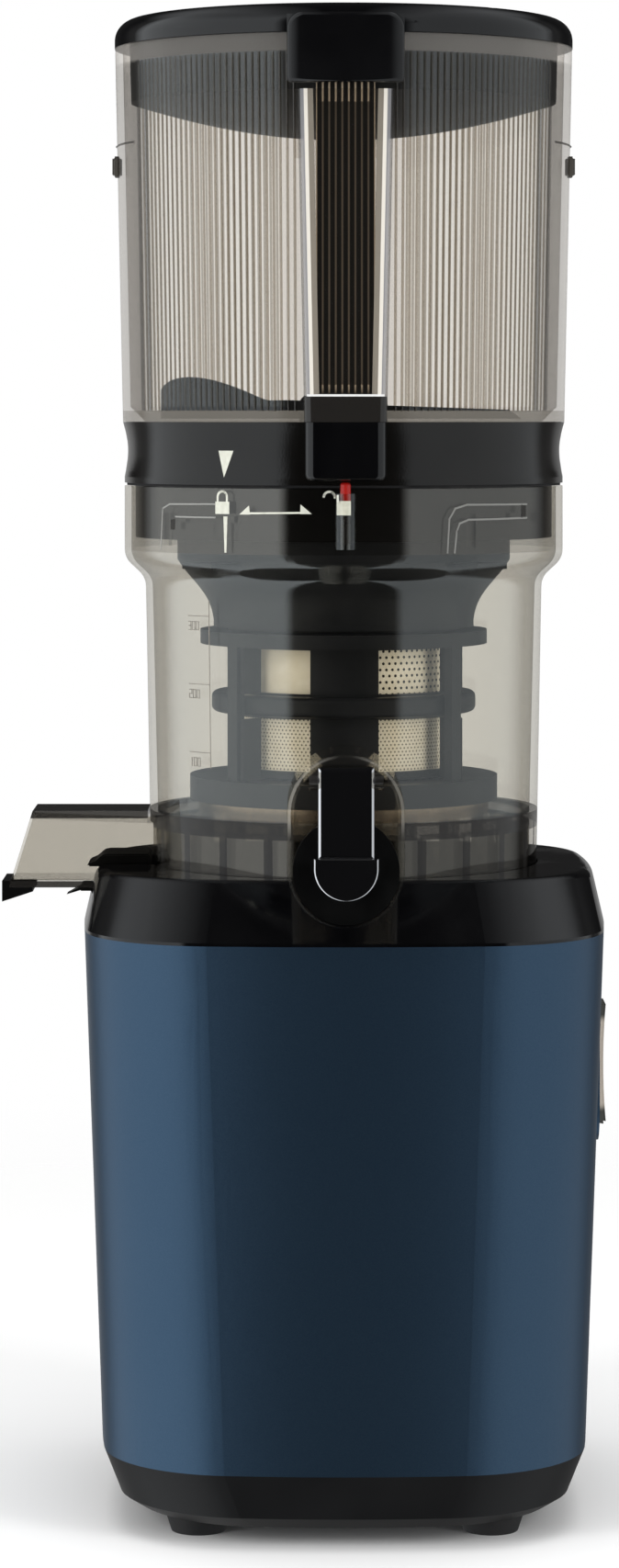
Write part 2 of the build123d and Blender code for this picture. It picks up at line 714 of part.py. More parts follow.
# Each quarter of the cage has a wide rib at its start and a thin rib halfway.
with BuildPart() as strainer_frame:
    with BuildSketch(Plane.XZ):
        with BuildLine():
            Polyline((strainer_inside, strainer_floor), (strainer_radius, strainer_floor),
                     (strainer_radius, strainer_top), (strainer_inside, strainer_top),
                     close=True)
        make_face()
        floor_hole = gear_module * (sun_teeth / 2 + 1) + 0.8
        with Locations((floor_hole, strainer_floor)):
            Rectangle(strainer_radius - floor_hole, window_sill - strainer_floor,
                      align=(Align.MIN, Align.MIN))
    revolve(axis=Axis.Z)
    for sill, height in window_heights:
        for quarter in (0, 90, 180, 270):
            wide = rib_half_angle if quarter in (90, 270) else degrees(thin_rib / 2 / strainer_radius)
            narrow = rib_half_angle if quarter in (0, 180) else degrees(
                thin_rib / 2 / strainer_radius)
            with BuildSketch(Plane.XZ.rotated((0, 0, quarter + wide))):
                with Locations((strainer_inside - 1, sill)):
                    Rectangle(strainer_wall + 2, height, align=(Align.MIN, Align.MIN))
            revolve(axis=Axis.Z, revolution_arc=90 - wide - narrow, mode=Mode.SUBTRACT)
    # Belt round the cage between its two rows of windows.
    with BuildSketch(Plane.XZ):
        with Locations((strainer_radius - 0.5, belt_bottom + belt_inset)):
            Rectangle(belt_reach + 0.5, middle_band - 2 * belt_inset,
                      align=(Align.MIN, Align.MIN))
    revolve(axis=Axis.Z)
    fillet(strainer_frame.edges().filter_by(GeomType.CIRCLE).sort_by(
        lambda edge: edge.radius)[-2:], 2)
    # Neck that leads the pulp through the gears' chamber into the chute.
    with BuildSketch(Plane.XY.offset(window_sill)):
        with Locations((pulp_middle, 0)):
            Rectangle(pulp_hole_length, pulp_hole_width)
    extrude(amount=-(window_sill - bowl_floor + floor_thickness))
    with BuildSketch(Plane.XY.offset(window_sill)):
        with Locations((pulp_middle, 0)):
            Rectangle(pulp_hole_length - 2 * neck_wall, pulp_hole_width - 2 * neck_wall)
    extrude(amount=-(window_sill - bowl_floor + 2 * floor_thickness), mode=Mode.SUBTRACT)

with BuildPart() as strainer_mesh:
    with BuildSketch(Plane.XY.offset(window_sill)):
        Circle(strainer_inside)
        Circle(strainer_inside - mesh_thickness, mode=Mode.SUBTRACT)
    extrude(amount=strainer_top - window_sill)

# Funnel from the bowl's shoulder down to the strainer, held by three lugs.
funnel_thickness = 2
funnel_foot = strainer_top + funnel_thickness
funnel_foot_radius = wiper_radius - funnel_foot_margin
funnel_inside = funnel_top_radius - funnel_thickness
cone_top = funnel_top - funnel_brim
with BuildPart() as funnel:
    with BuildSketch(Plane.XZ):
        with BuildLine():
            Spline((funnel_foot_radius - funnel_thickness, funnel_foot), (funnel_inside, cone_top),
                   tangents=((0.1, 1), (0.55, 1)))
            Polyline((funnel_inside, cone_top), (funnel_inside, funnel_top),
                     (funnel_top_radius, funnel_top), (funnel_top_radius, cone_top))
            Spline((funnel_top_radius, cone_top), (funnel_foot_radius, funnel_foot),
                   tangents=((-0.55, -1), (-0.1, -1)))
            Polyline((funnel_foot_radius, funnel_foot), (funnel_foot_radius, strainer_top),
                     (strainer_inside, strainer_top), (strainer_inside, funnel_foot),
                     (funnel_foot_radius - funnel_thickness, funnel_foot))
        make_face()
    revolve(axis=Axis.Z)
    with BuildSketch(Plane.XY.offset(cone_top)):
        with PolarLocations(funnel_top_radius, 4, start_angle=45):
            Rectangle(2 * (bowl_inside - funnel_top_radius), 14)
        Circle(bowl_inside - 2.9, mode=Mode.INTERSECT)
        Circle(funnel_top_radius - 1, mode=Mode.SUBTRACT)
    extrude(amount=-funnel_thickness)


# ---------------------------------------------------------------- gears

def involute_point(base_radius, radius, turn):
    """Point of an involute flank at a radius, turned about the gear's axis."""
    roll = sqrt((radius / base_radius)**2 - 1)
    angle = roll - atan2(roll, 1) + turn
    return Vector(radius * cos(angle), radius * sin(angle))


def tooth_profile(teeth, root, tip, thinning):
    """Flat face of one tooth along +X, from a little under the root to the tip."""
    pitch_radius = gear_module * teeth / 2
    base_radius = pitch_radius * cos(radians(pressure_angle))
    low = max(root, base_radius + 0.01)
    lean = tan(radians(pressure_angle)) - radians(pressure_angle)
    turn = -(pi / 2 / teeth - thinning / 2 / pitch_radius) - lean
    radii = [low, (low + tip) / 2, tip]
    flank = [involute_point(base_radius, radius, turn) for radius in radii]
    foot = flank[0] * ((root - 0.4) / flank[0].length)
    with BuildSketch() as tooth:
        with BuildLine():
            Line(foot, flank[0])
            ThreePointArc(*flank)
            Line(flank[2], Vector(flank[2].X, -flank[2].Y))
            ThreePointArc(*[Vector(point.X, -point.Y) for point in reversed(flank)])
            Line(Vector(flank[0].X, -flank[0].Y), Vector(foot.X, -foot.Y))
            Line(Vector(foot.X, -foot.Y), foot)
        make_face()
    return tooth.sketch


gear_bottom = gear_floor + 0.4
sun_pitch = gear_module * sun_teeth / 2
idler_pitch = gear_module * idler_teeth / 2
ring_pitch = gear_module * ring_teeth / 2
idler_distance = sun_pitch + idler_pitch
addendum, dedendum = gear_module, 1.25 * gear_module

# The idler faces both the sun's and the ring's teeth with a gap.
with BuildPart() as idler_gear:
    with BuildSketch(Plane.XY.offset(gear_bottom)):
        with Locations((idler_distance, 0)):
            Circle(idler_pitch - dedendum)
            with PolarLocations(0, idler_teeth, start_angle=180 + 180 / idler_teeth):
                add(tooth_profile(idler_teeth, idler_pitch - dedendum,
                                  idler_pitch + addendum, backlash))
            Circle(idler_pin_radius + running_gap, mode=Mode.SUBTRACT)
    extrude(amount=gear_height)

with BuildPart() as idler_pin:
    with Locations((idler_distance, 0, bowl_floor)):
        Cylinder(idler_pin_radius, strainer_floor - bowl_floor - sliding_gap,
                 align=(Align.CENTER, Align.CENTER, Align.MIN))
        Cylinder(idler_pin_radius + 1.6, gear_rise,
                 align=(Align.CENTER, Align.CENTER, Align.MIN))

# Wiper: ring gear, four posts and a top ring that turn round the strainer.
wiper_base = gear_floor + sliding_gap
wiper_top = wiper_base + wiper_base_height
wiper_ring_bottom = belt_top + upper_window + 0.8
with BuildPart() as wiper_frame:
    with BuildSketch(Plane.XY.offset(wiper_base)):
        Circle(wiper_base_radius)
        Circle(ring_pitch + dedendum, mode=Mode.SUBTRACT)
        with PolarLocations(0, ring_teeth):
            with BuildSketch(mode=Mode.PRIVATE) as ring_tooth:
                with BuildLine():
                    half_pitch = pi / 2 / ring_teeth - backlash / 2 / ring_pitch
                    slope = gear_module * tan(radians(pressure_angle)) / ring_pitch
                    outer, inner = ring_pitch + dedendum + 0.4, ring_pitch - addendum
                    wide, slim = half_pitch + 1.5 * slope, half_pitch - slope
                    Polyline((outer * cos(wide), -outer * sin(wide)),
                             (inner * cos(slim), -inner * sin(slim)),
                             (inner * cos(slim), inner * sin(slim)),
                             (outer * cos(wide), outer * sin(wide)), close=True)
                make_face()
            add(ring_tooth.sketch)
    extrude(amount=wiper_top - wiper_base)
    post_radius = wiper_radius - wiper_post_depth / 2
    with BuildSketch(Plane.XY.offset(wiper_base)):
        for side in (-1, 1):
            with PolarLocations(post_radius, 2, start_angle=side * wiper_post_angle):
                Rectangle(wiper_post_depth, wiper_post_width)
    extrude(amount=wiper_ring_bottom - wiper_base + 1)
    with BuildSketch(Plane.XY.offset(wiper_ring_bottom)):
        Circle(wiper_radius)
        Circle(strainer_radius + 2 * sliding_gap, mode=Mode.SUBTRACT)
    extrude(amount=wiper_ring_height)

with BuildPart() as wiper_blades:
    blade_depth = wiper_radius - strainer_radius - 1.2
    blade_radius = strainer_radius + sliding_gap + blade_depth / 2
    blade_turn = degrees((wiper_post_width + blade_thickness) / 2 / blade_radius)
    # Each blade is parted where the cage's belt passes.
    for low, high in ((wiper_top, belt_bottom), (belt_top, wiper_ring_bottom)):
        with BuildSketch(Plane.XY.offset(low)):
            for side in (-1, 1):
                with PolarLocations(blade_radius, 2,
                                    start_angle=side * wiper_post_angle + blade_turn + 0.4):
                    Rectangle(blade_depth, blade_thickness)
        extrude(amount=high - low)

# ---------------------------------------------------------------- drive and screw

hex_bottom = bowl_floor + bowl_tube_height + 1
with BuildPart() as drive_shaft:
    with Locations((0, 0, shaft_bottom + sliding_gap)):
        Cylinder(shaft_radius, hex_bottom - shaft_bottom - sliding_gap,
                 align=(Align.CENTER, Align.CENTER, Align.MIN))
    with BuildSketch(Plane.XY.offset(hex_bottom)):
        RegularPolygon(hex_flats / 2, 6, major_radius=False)
    extrude(amount=hex_height)
    chamfer(drive_shaft.edges().group_by(Axis.Z)[-1], 1)

with BuildPart() as shaft_seal:
    with BuildSketch(Plane.XY.offset(bowl_skirt)):
        Circle(shaft_hole - seat_gap)
        Circle(shaft_radius + running_gap, mode=Mode.SUBTRACT)
    extrude(amount=-3)

# Screw: a sun gear and a collar at its foot, a core that tapers, flights above.
collar_radius = floor_hole - 3 * sliding_gap
with BuildPart() as juicing_screw:
    with BuildSketch(Plane.XZ):
        with BuildLine():
            Polyline((0, gear_bottom + gear_height), (collar_radius - 0.4, gear_bottom + gear_height),
                     (collar_radius - 0.4, window_sill + 1.2), (screw_core_radius, window_sill + 4),
                     (screw_core_radius - 2, screw_taper_start), (screw_neck_radius + 2, screw_top - 18),
                     (screw_neck_radius, screw_top - 8), (screw_neck_radius, screw_top), (0, screw_top),
                     close=True)
        make_face()
    revolve(axis=Axis.Z)
    with BuildSketch(Plane.XY.offset(gear_bottom)):
        Circle(sun_pitch - dedendum)
        with PolarLocations(0, sun_teeth):
            add(tooth_profile(sun_teeth, sun_pitch - dedendum, sun_pitch + addendum, backlash))
    extrude(amount=gear_height)
    # Coarse flights that draw the food down.
    flight_height = flight_pitch * flight_turns
    helix_radius = screw_neck_radius + 2
    for lead in (0, 180):
        lead_path = Helix(flight_pitch, flight_height, helix_radius, mode=Mode.PRIVATE).moved(
            Location((0, 0, window_sill + 5), (0, 0, lead)))
        with BuildSketch(Plane(origin=lead_path @ 0, x_dir=Vector(1, 0, 0).rotate(Axis.Z, lead),
                               z_dir=lead_path % 0)):
            reach = screw_radius - helix_radius + 5
            Polygon((-3, -flight_thickness / 2), (reach, -flight_thickness / 3),
                    (reach, flight_thickness / 3), (-3, flight_thickness / 2), align=None)
        sweep(path=lead_path, is_frenet=True)
    # Outline that the flights are turned down to, following the funnel's throat.
    with BuildPart(mode=Mode.PRIVATE) as screw_outline:
        with BuildSketch(Plane.XZ):
            with BuildLine():
                Polyline((0, gear_bottom), (floor_hole - 0.6, gear_bottom),
                         (floor_hole - 0.6, window_sill + 1.2), (screw_radius, window_sill + 1.2),
                         (screw_radius, screw_taper_start), (screw_radius - 4, screw_top - 12),
                         (screw_neck_radius, screw_top - 4), (screw_neck_radius, screw_top),
                         (0, screw_top), close=True)
            make_face()
        revolve(axis=Axis.Z)
    add(screw_outline.part, mode=Mode.INTERSECT)
    # Fine upright ribs that squeeze the pulp against the strainer.
    with BuildSketch(Plane.XY.offset(window_sill + 4)):
        with PolarLocations((screw_radius + screw_core_radius) / 2 - 2, squeeze_ribs):
            Rectangle(screw_radius - screw_core_radius, 2.4)
    extrude(amount=lower_window)
    # Bore over the bowl's tube and hexagonal socket of the drive shaft.
    with Locations((0, 0, gear_bottom)):
        Cylinder(bowl_tube_radius + sliding_gap, hex_bottom - gear_bottom + 1,
                 align=(Align.CENTER, Align.CENTER, Align.MIN), mode=Mode.SUBTRACT)
    with BuildSketch(Plane.XY.offset(hex_bottom)):
        RegularPolygon(hex_flats / 2 + seat_gap, 6, major_radius=False)
    extrude(amount=hex_height + 1, mode=Mode.SUBTRACT)
    # Square drive for the feed wing.
    drive_square = 12
    with BuildSketch(Plane.XY.offset(screw_top)):
        RectangleRounded(drive_square, drive_square, 1)
    extrude(amount=12)

# ---------------------------------------------------------------- hopper

hopper_inside_top = hopper_rim_radius - hopper_wall
hopper_inside_foot = hopper_foot_radius - hopper_wall
hub_radius = 15
channel_front = hopper_rim_radius + channel_depth
with BuildPart() as hopper:
    with BuildSketch(Plane.XZ):
        with BuildLine():
            Polyline((hub_radius + sliding_gap, hopper_floor),
                     (hopper_foot_radius - 1, hopper_floor),
                     (hopper_foot_radius - 1, ring_top), (hopper_foot_radius, ring_top),
                     (hopper_rim_radius, hopper_rim), (hopper_rim_radius, lid_bottom),
                     (hopper_inside_top, lid_bottom), (hopper_inside_top, hopper_rim),
                     (hopper_inside_foot, hopper_floor + hopper_floor_thickness + 5),
                     (hopper_inside_foot - 5, hopper_floor + hopper_floor_thickness),
                     (hub_radius + sliding_gap, hopper_floor + hopper_floor_thickness),
                     close=True)
        make_face()
    revolve(axis=Axis.Z)
    # Feed hole in the floor, a ring sector at the right and back.
    with BuildSketch(Plane.XZ.rotated((0, 0, 5))):
        with Locations((feed_hole_inner, hopper_floor - 1)):
            Rectangle(wing_radius - feed_hole_inner, hopper_floor_thickness + 2,
                      align=(Align.MIN, Align.MIN))
    revolve(axis=Axis.Z, revolution_arc=feed_hole_angle, mode=Mode.SUBTRACT)
    # Raised channel down the front, wider at its head and open at both ends.
    for height, width in ((ring_top, channel_foot_width), (channel_top, channel_head_width)):
        with BuildSketch(Plane.XY.offset(height)) as channel_end:
            with Locations((0, -hopper_foot_radius + hopper_wall / 2)):
                Rectangle(width, channel_front - hopper_foot_radius + hopper_wall / 2,
                          align=(Align.CENTER, Align.MAX))
            fillet(channel_end.vertices().sort_by(Axis.Y)[:2], 3)
    loft()
    for height, width in ((ring_top - 1, channel_foot_width), (channel_top + 1, channel_head_width)):
        with BuildSketch(Plane.XY.offset(height)):
            with Locations((0, -channel_front + channel_wall)):
                Rectangle(width - 2 * channel_wall, channel_depth - channel_wall - 0.4,
                          align=(Align.CENTER, Align.MIN))
    loft(mode=Mode.SUBTRACT)
    # Bracket of the lid's hinge.
    hinge_y = hopper_rim_radius + hinge_offset
    for side in (-1, 1):
        with BuildSketch(Plane.YZ.offset(side * (hinge_width / 2 - 2.5))):
            with BuildLine():
                Polyline((hopper_rim_radius - 1, hinge_height - 34), (hinge_y + 3.4, hinge_height - 6),
                         (hinge_y + 3.4, hinge_height))
                ThreePointArc((hinge_y + 3.4, hinge_height), (hinge_y, hinge_height + 3.4),
                              (hinge_y - 3.4, hinge_height))
                Polyline((hinge_y - 3.4, hinge_height), (hinge_y - 3.4, lid_bottom - 1),
                         (hopper_rim_radius - 1, lid_bottom - 4),
                         (hopper_rim_radius - 1, hinge_height - 34))
            make_face()
        extrude(amount=2.5, both=True)
    with BuildSketch(Plane.YZ.offset(-hinge_width)):
        with Locations((hinge_y, hinge_height)):
            Circle(hinge_pin_radius)
    extrude(amount=2 * hinge_width, mode=Mode.SUBTRACT)

with BuildPart() as hinge_pin:
    with BuildSketch(Plane.YZ.offset(-hinge_width / 2)):
        with Locations((hinge_y, hinge_height)):
            Circle(hinge_pin_radius)
    extrude(amount=hinge_width)

# Dark ring under the hopper: a waisted skirt and a collar with lugs.
collar_radius_outer = bowl_inside - 1.4
lug_radius = bowl_inside - 0.4
lug_top = bowl_shoulder + 10 - sliding_gap
with BuildPart() as hopper_ring:
    with BuildSketch(Plane.XZ):
        with BuildLine():
            Line((ring_foot_radius, ring_bottom), (ring_foot_radius, ring_bottom + 2))
            Spline((ring_foot_radius, ring_bottom + 2), (ring_waist_radius, ring_waist),
                   (hopper_foot_radius, ring_top - 0.1), tangents=((-0.2, 1), (0.3, 1)))
            Polyline((hopper_foot_radius, ring_top - 0.1),
                     (hopper_foot_radius - 1 + seat_gap, ring_top - 0.1),
                     (hopper_foot_radius - 1 + seat_gap, hopper_floor),
                     (collar_radius_outer - collar_wall, hopper_floor),
                     (collar_radius_outer - collar_wall, collar_bottom),
                     (collar_radius_outer, collar_bottom),
                     (collar_radius_outer, ring_bottom),
                     (ring_foot_radius, ring_bottom))
        make_face()
    revolve(axis=Axis.Z)
    for turn in range(bayonet_count):
        with BuildSketch(Plane.XZ.rotated((0, 0, 360 / bayonet_count * turn - lug_arc / 2 - 45))):
            with Locations((collar_radius_outer - 0.5, lug_top - lug_height)):
                Rectangle(lug_radius - collar_radius_outer + 0.5, lug_height,
                          align=(Align.MIN, Align.MIN))
        revolve(axis=Axis.Z, revolution_arc=lug_arc)
    # Seat of the lower housing at the front.
    with BuildSketch(Plane.XY.offset(ring_bottom + 1.6)):
        with Locations((0, -hopper_foot_radius + 1)):
            Rectangle(lower_housing_width + 2 * seat_gap, 20, align=(Align.CENTER, Align.MAX))
    extrude(amount=ring_top - ring_bottom, mode=Mode.SUBTRACT)

with BuildPart() as hopper_gasket:
    with BuildSketch(Plane.XY.offset(bowl_top + sliding_gap)):
        Circle(ring_foot_radius - 0.8)
        Circle(collar_radius_outer + 0.2, mode=Mode.SUBTRACT)
    extrude(amount=ring_bottom - bowl_top - sliding_gap)

# Lower housing of the front channel, with a socket for the lock pin.
housing_back = hopper_foot_radius - 1 + seat_gap
housing_front = channel_front - 0.6
pin_y = (housing_back + housing_front) / 2 + 0.6
with BuildPart() as channel_housing:
    with BuildSketch(Plane.XY.offset(ring_bottom + 1.6 + seat_gap)):
        with Locations((0, -housing_back)):
            Rectangle(lower_housing_width, housing_front - housing_back,
                      align=(Align.CENTER, Align.MAX))
    extrude(amount=ring_top - ring_bottom - 1.6 - 2 * seat_gap)
    fillet(channel_housing.edges().filter_by(Axis.Z).group_by(Axis.Y)[0], 3.5)
    fillet(channel_housing.faces().sort_by(Axis.Y)[0].edges().sort_by(Axis.Z)[0], 2)
    with Locations((0, -pin_y, ring_bottom)):
        Cylinder(lock_pin_radius + sliding_gap, rod_travel + 5,
                 align=(Align.CENTER, Align.CENTER, Align.MIN), mode=Mode.SUBTRACT)

# Lock pin on the bowl's rim, in a small clear guide.
guide_radius = lock_pin_radius + 1.6
pin_top = ring_bottom + 1.2
with BuildPart() as lock_pin:
    with Locations((0, -pin_y, pin_top)):
        Cylinder(lock_pin_radius, lock_pin_length,
                 align=(Align.CENTER, Align.CENTER, Align.MAX))
    fillet(lock_pin.edges().group_by(Axis.Z)[-1], 1)

guide_top = bowl_top - 1.4
with BuildPart() as pin_guide:
    with BuildSketch(Plane.XY.offset(guide_top)):
        with Locations((0, -pin_y)):
            Circle(guide_radius)
        with Locations((0, -pin_y)):
            Rectangle(2 * guide_radius, pin_y - bowl_rim_radius + 2,
                      align=(Align.CENTER, Align.MIN))
        Circle(bowl_rim_radius + running_gap, mode=Mode.SUBTRACT)
        with Locations((0, -pin_y)):
            Circle(lock_pin_radius + running_gap, mode=Mode.SUBTRACT)
    extrude(amount=-lock_pin_length + 2)

# Safety rod in the hopper's channel: ribbed in front, pressed down by the lid.
rod_top = lid_bottom - sliding_gap
rod_bottom = ring_top + 8
rod_flute_pitch = 2.1
rod_flutes = 8
rod_y = hopper_rim_radius + channel_depth / 2 - 0.4
with BuildPart() as safety_rod:
    with BuildSketch(Plane.XY.offset(rod_bottom)):
        with Locations((0, -rod_y)):
            Rectangle(rod_width, rod_thickness)
    extrude(amount=rod_top - rod_bottom)
    with BuildSketch(Plane.XY.offset(rod_bottom + 4)):
        with Locations((0, -rod_y - rod_thickness / 2)):
            with GridLocations(rod_flute_pitch, 0, rod_flutes, 1):
                Rectangle(rod_flute_pitch / 2, 1.6)
    extrude(amount=channel_top - rod_bottom - 8, mode=Mode.SUBTRACT)

spring_radius = 2.6
spring_wire = 0.5
with BuildPart() as rod_spring:
    coil = Helix(2.0, rod_bottom - ring_top - 1.2, spring_radius - spring_wire,
                 mode=Mode.PRIVATE).moved(Location((0, -rod_y, ring_top + 0.6)))
    with BuildSketch(Plane(origin=coil @ 0, x_dir=(1, 0, 0), z_dir=coil % 0)):
        Circle(spring_wire)
    sweep(path=coil, is_frenet=True)

# ---------------------------------------------------------------- feed wing

hub_seat = screw_top
wing_floor = hopper_floor + hopper_floor_thickness + 1
with BuildPart() as feed_wing:
    with Locations((0, 0, hub_seat)):
        Cylinder(hub_radius, wing_floor + 8 - hub_seat,
                 align=(Align.CENTER, Align.CENTER, Align.MIN))
    fillet(feed_wing.edges().group_by(Axis.Z)[-1], 3)
    # One arm rises towards its tip, the other is a low sweep.
    with BuildSketch(Plane.XZ.offset(-wing_width / 2)):
        with BuildLine():
            Polyline((wing_radius - 2, wing_floor), (-wing_radius, wing_floor),
                     (-wing_radius, wing_floor + wing_height * 0.7))
            Spline((-wing_radius, wing_floor + wing_height * 0.7),
                   (-wing_radius + 8, wing_floor + wing_height),
                   (-wing_radius + 34, wing_floor + wing_height * 0.5),
                   (0, wing_floor + 5), tangents=((0.6, 1), (1, -0.1)))
            Polyline((0, wing_floor + 5), (wing_radius - 6, wing_floor + 3),
                     (wing_radius - 2, wing_floor))
        make_face()
    extrude(amount=wing_width)
    fillet(feed_wing.edges().filter_by(Axis.Z), 4)
    with BuildSketch(Plane.XY.offset(hub_seat)):
        RectangleRounded(drive_square + 2 * seat_gap, drive_square + 2 * seat_gap, 1)
    extrude(amount=12.3, mode=Mode.SUBTRACT)

# ---------------------------------------------------------------- lid

with BuildPart() as lid_shell:
    with BuildSketch(Plane.XZ):
        with BuildLine():
            Polyline((0, lid_top), (lid_radius, lid_top), (lid_radius, lid_bottom + sliding_gap),
                     (lid_radius - 5, lid_bottom + sliding_gap),
                     (lid_radius - 5, lid_top - lid_wall), (0, lid_top - lid_wall), close=True)
        lid_profile = make_face()
        fillet(lid_profile.vertices().sort_by(lambda corner: corner.X + corner.Y)[-1],
               lid_edge_round)
    revolve(axis=Axis.Z)
    # Knuckle of the hinge and ears of the latch.
    knuckle = hinge_width - 10 - 2 * sliding_gap
    with BuildSketch(Plane.YZ.offset(-knuckle / 2)):
        with Locations((hinge_y, hinge_height)):
            Circle(3.4)
        with BuildLine():
            Polyline((lid_radius - 4, lid_top - 3), (hinge_y, hinge_height + 3.4),
                     (hinge_y, hinge_height), (hopper_rim_radius + 3.6, lid_bottom + sliding_gap),
                     (lid_radius - 4, lid_bottom + sliding_gap), close=True)
        make_face()
    extrude(amount=knuckle)
    with BuildSketch(Plane.YZ.offset(-knuckle)):
        with Locations((hinge_y, hinge_height)):
            Circle(hinge_pin_radius + running_gap)
    extrude(amount=2 * knuckle, mode=Mode.SUBTRACT)
    latch_pivot = (channel_front - 3.2, lid_bottom + 2.6)
    ear = latch_width - 2 * latch_thickness - 2 * sliding_gap
    with BuildSketch(Plane.YZ.offset(-ear / 2)):
        with Locations((-latch_pivot[0], latch_pivot[1])):
            Circle(2.3)
        Polygon((-latch_pivot[0], latch_pivot[1] - 2.3), (-latch_pivot[0], latch_pivot[1] + 2.3),
                (-lid_radius + 4, latch_pivot[1] + 2.3), (-lid_radius + 4, latch_pivot[1] - 2.3),
                align=None)
    extrude(amount=ear)
    with BuildSketch(Plane.YZ.offset(-latch_width)):
        with Locations((-latch_pivot[0], latch_pivot[1])):
            Circle(1.25)
    extrude(amount=2 * latch_width, mode=Mode.SUBTRACT)

skirt_foot = hopper_inside_top - 2.8
with BuildPart() as lid_dish:
    with BuildSketch(Plane.XZ):
        with BuildLine():
            Polyline((lid_radius - 5 - seat_gap, lid_top - lid_wall),
                     (lid_radius - 5 - seat_gap, lid_bottom - 1),
                     (skirt_foot, lid_bottom - lid_skirt))
            dish_rim, dish_bottom = lid_bottom - lid_skirt, lid_bottom - lid_skirt - lid_dish_depth
            Spline((skirt_foot, dish_rim), (0, dish_bottom), tangents=((-1, -0.3), (-1, 0)))
            Line((0, dish_bottom), (0, dish_bottom + lid_wall))
            Spline((0, dish_bottom + lid_wall), (skirt_foot - lid_wall, dish_rim + lid_wall),
                   tangents=((1, 0), (1, 0.3)))
            Polyline((skirt_foot - lid_wall, dish_rim + lid_wall),
                     (skirt_foot - lid_wall, lid_top - lid_wall),
                     (lid_radius - 5 - seat_gap, lid_top - lid_wall))
        make_face()
    revolve(axis=Axis.Z)

# Latch that drops over the channel's head.
with BuildPart() as lid_latch:
    plate_y = latch_pivot[0] + 2.3 + sliding_gap
    with BuildSketch(Plane.XZ.offset(plate_y)) as latch_face:
        with Locations((0, lid_bottom + 5.4)):
            Rectangle(latch_width, latch_height, align=(Align.CENTER, Align.MAX))
        fillet(latch_face.vertices().sort_by(Axis.Y)[-2:], 5)
        fillet(latch_face.vertices().sort_by(Axis.Y)[:2], 1.5)
    extrude(amount=latch_thickness)
    fillet(lid_latch.faces().sort_by(Axis.Y)[0].edges(), 1.4)
    for side in (-1, 1):
        with BuildSketch(Plane.YZ.offset(side * (latch_width - latch_thickness) / 2)):
            with Locations((-latch_pivot[0], latch_pivot[1])):
                Circle(2.3)
            with Locations((-latch_pivot[0], latch_pivot[1])):
                Rectangle(latch_pivot[0] - plate_y - 1, 4.6, align=(Align.MIN, Align.CENTER))
                Rectangle(plate_y + 1 - latch_pivot[0], 4.6, align=(Align.MAX, Align.CENTER))
        extrude(amount=latch_thickness / 2, both=True)
    with BuildSketch(Plane.YZ.offset(-latch_width)):
        with Locations((-latch_pivot[0], latch_pivot[1])):
            Circle(1.2 + running_gap)
    extrude(amount=2 * latch_width, mode=Mode.SUBTRACT)

with BuildPart() as latch_pin:
    with BuildSketch(Plane.YZ.offset(-latch_width / 2 + 0.4)):
        with Locations((-latch_pivot[0], latch_pivot[1])):
            Circle(1.2)
    extrude(amount=latch_width - 0.8)

# ---------------------------------------------------------------- spout cap

plate_back = ear_y - lever_thickness / 2
half_foot = lever_width / 2 + 1.45
with BuildPart() as cap_lever:
    with BuildSketch(Plane.XZ.offset(plate_back)):
        with Locations((0, lever_top)):
            Rectangle(lever_width, lever_top - lever_shoulder, align=(Align.CENTER, Align.MAX))
    extrude(amount=lever_thickness)
    chamfer(cap_lever.faces().sort_by(Axis.Y)[0].edges(), 0.8)
    with BuildSketch(Plane.XZ.offset(plate_back)):
        with BuildLine():
            Polyline((-half_foot, lever_foot + half_foot), (-half_foot, lever_shoulder),
                     (half_foot, lever_shoulder), (half_foot, lever_foot + half_foot))
            ThreePointArc((half_foot, lever_foot + half_foot), (0, lever_foot),
                          (-half_foot, lever_foot + half_foot))
        make_face()
    extrude(amount=lever_thickness + 0.4)
    fillet(cap_lever.faces().sort_by(Axis.Y)[0].edges(), 0.6)
    with BuildSketch(Plane.YZ.offset(-lever_width)):
        with Locations((-ear_y, lever_pivot)):
            Circle(cap_pin_radius + running_gap)
    extrude(amount=2 * lever_width, mode=Mode.SUBTRACT)

with BuildPart() as cap_plug:
    with BuildSketch(Plane.XZ.offset(spout_face + 0.2)):
        with Locations((0, mouth_height)):
            Circle(cap_radius)
    extrude(amount=plate_back - spout_face - 0.2)
    with BuildSketch(Plane.XZ.offset(spout_face + 0.2)):
        with Locations((0, mouth_height)):
            Circle(mouth_radius - 0.5)
    extrude(amount=-3, taper=14)

with BuildPart() as cap_pin:
    with BuildSketch(Plane.YZ.offset(-lever_width / 2 - 3)):
        with Locations((-ear_y, lever_pivot)):
            Circle(cap_pin_radius)
    extrude(amount=lever_width + 6)

# ---------------------------------------------------------------- export

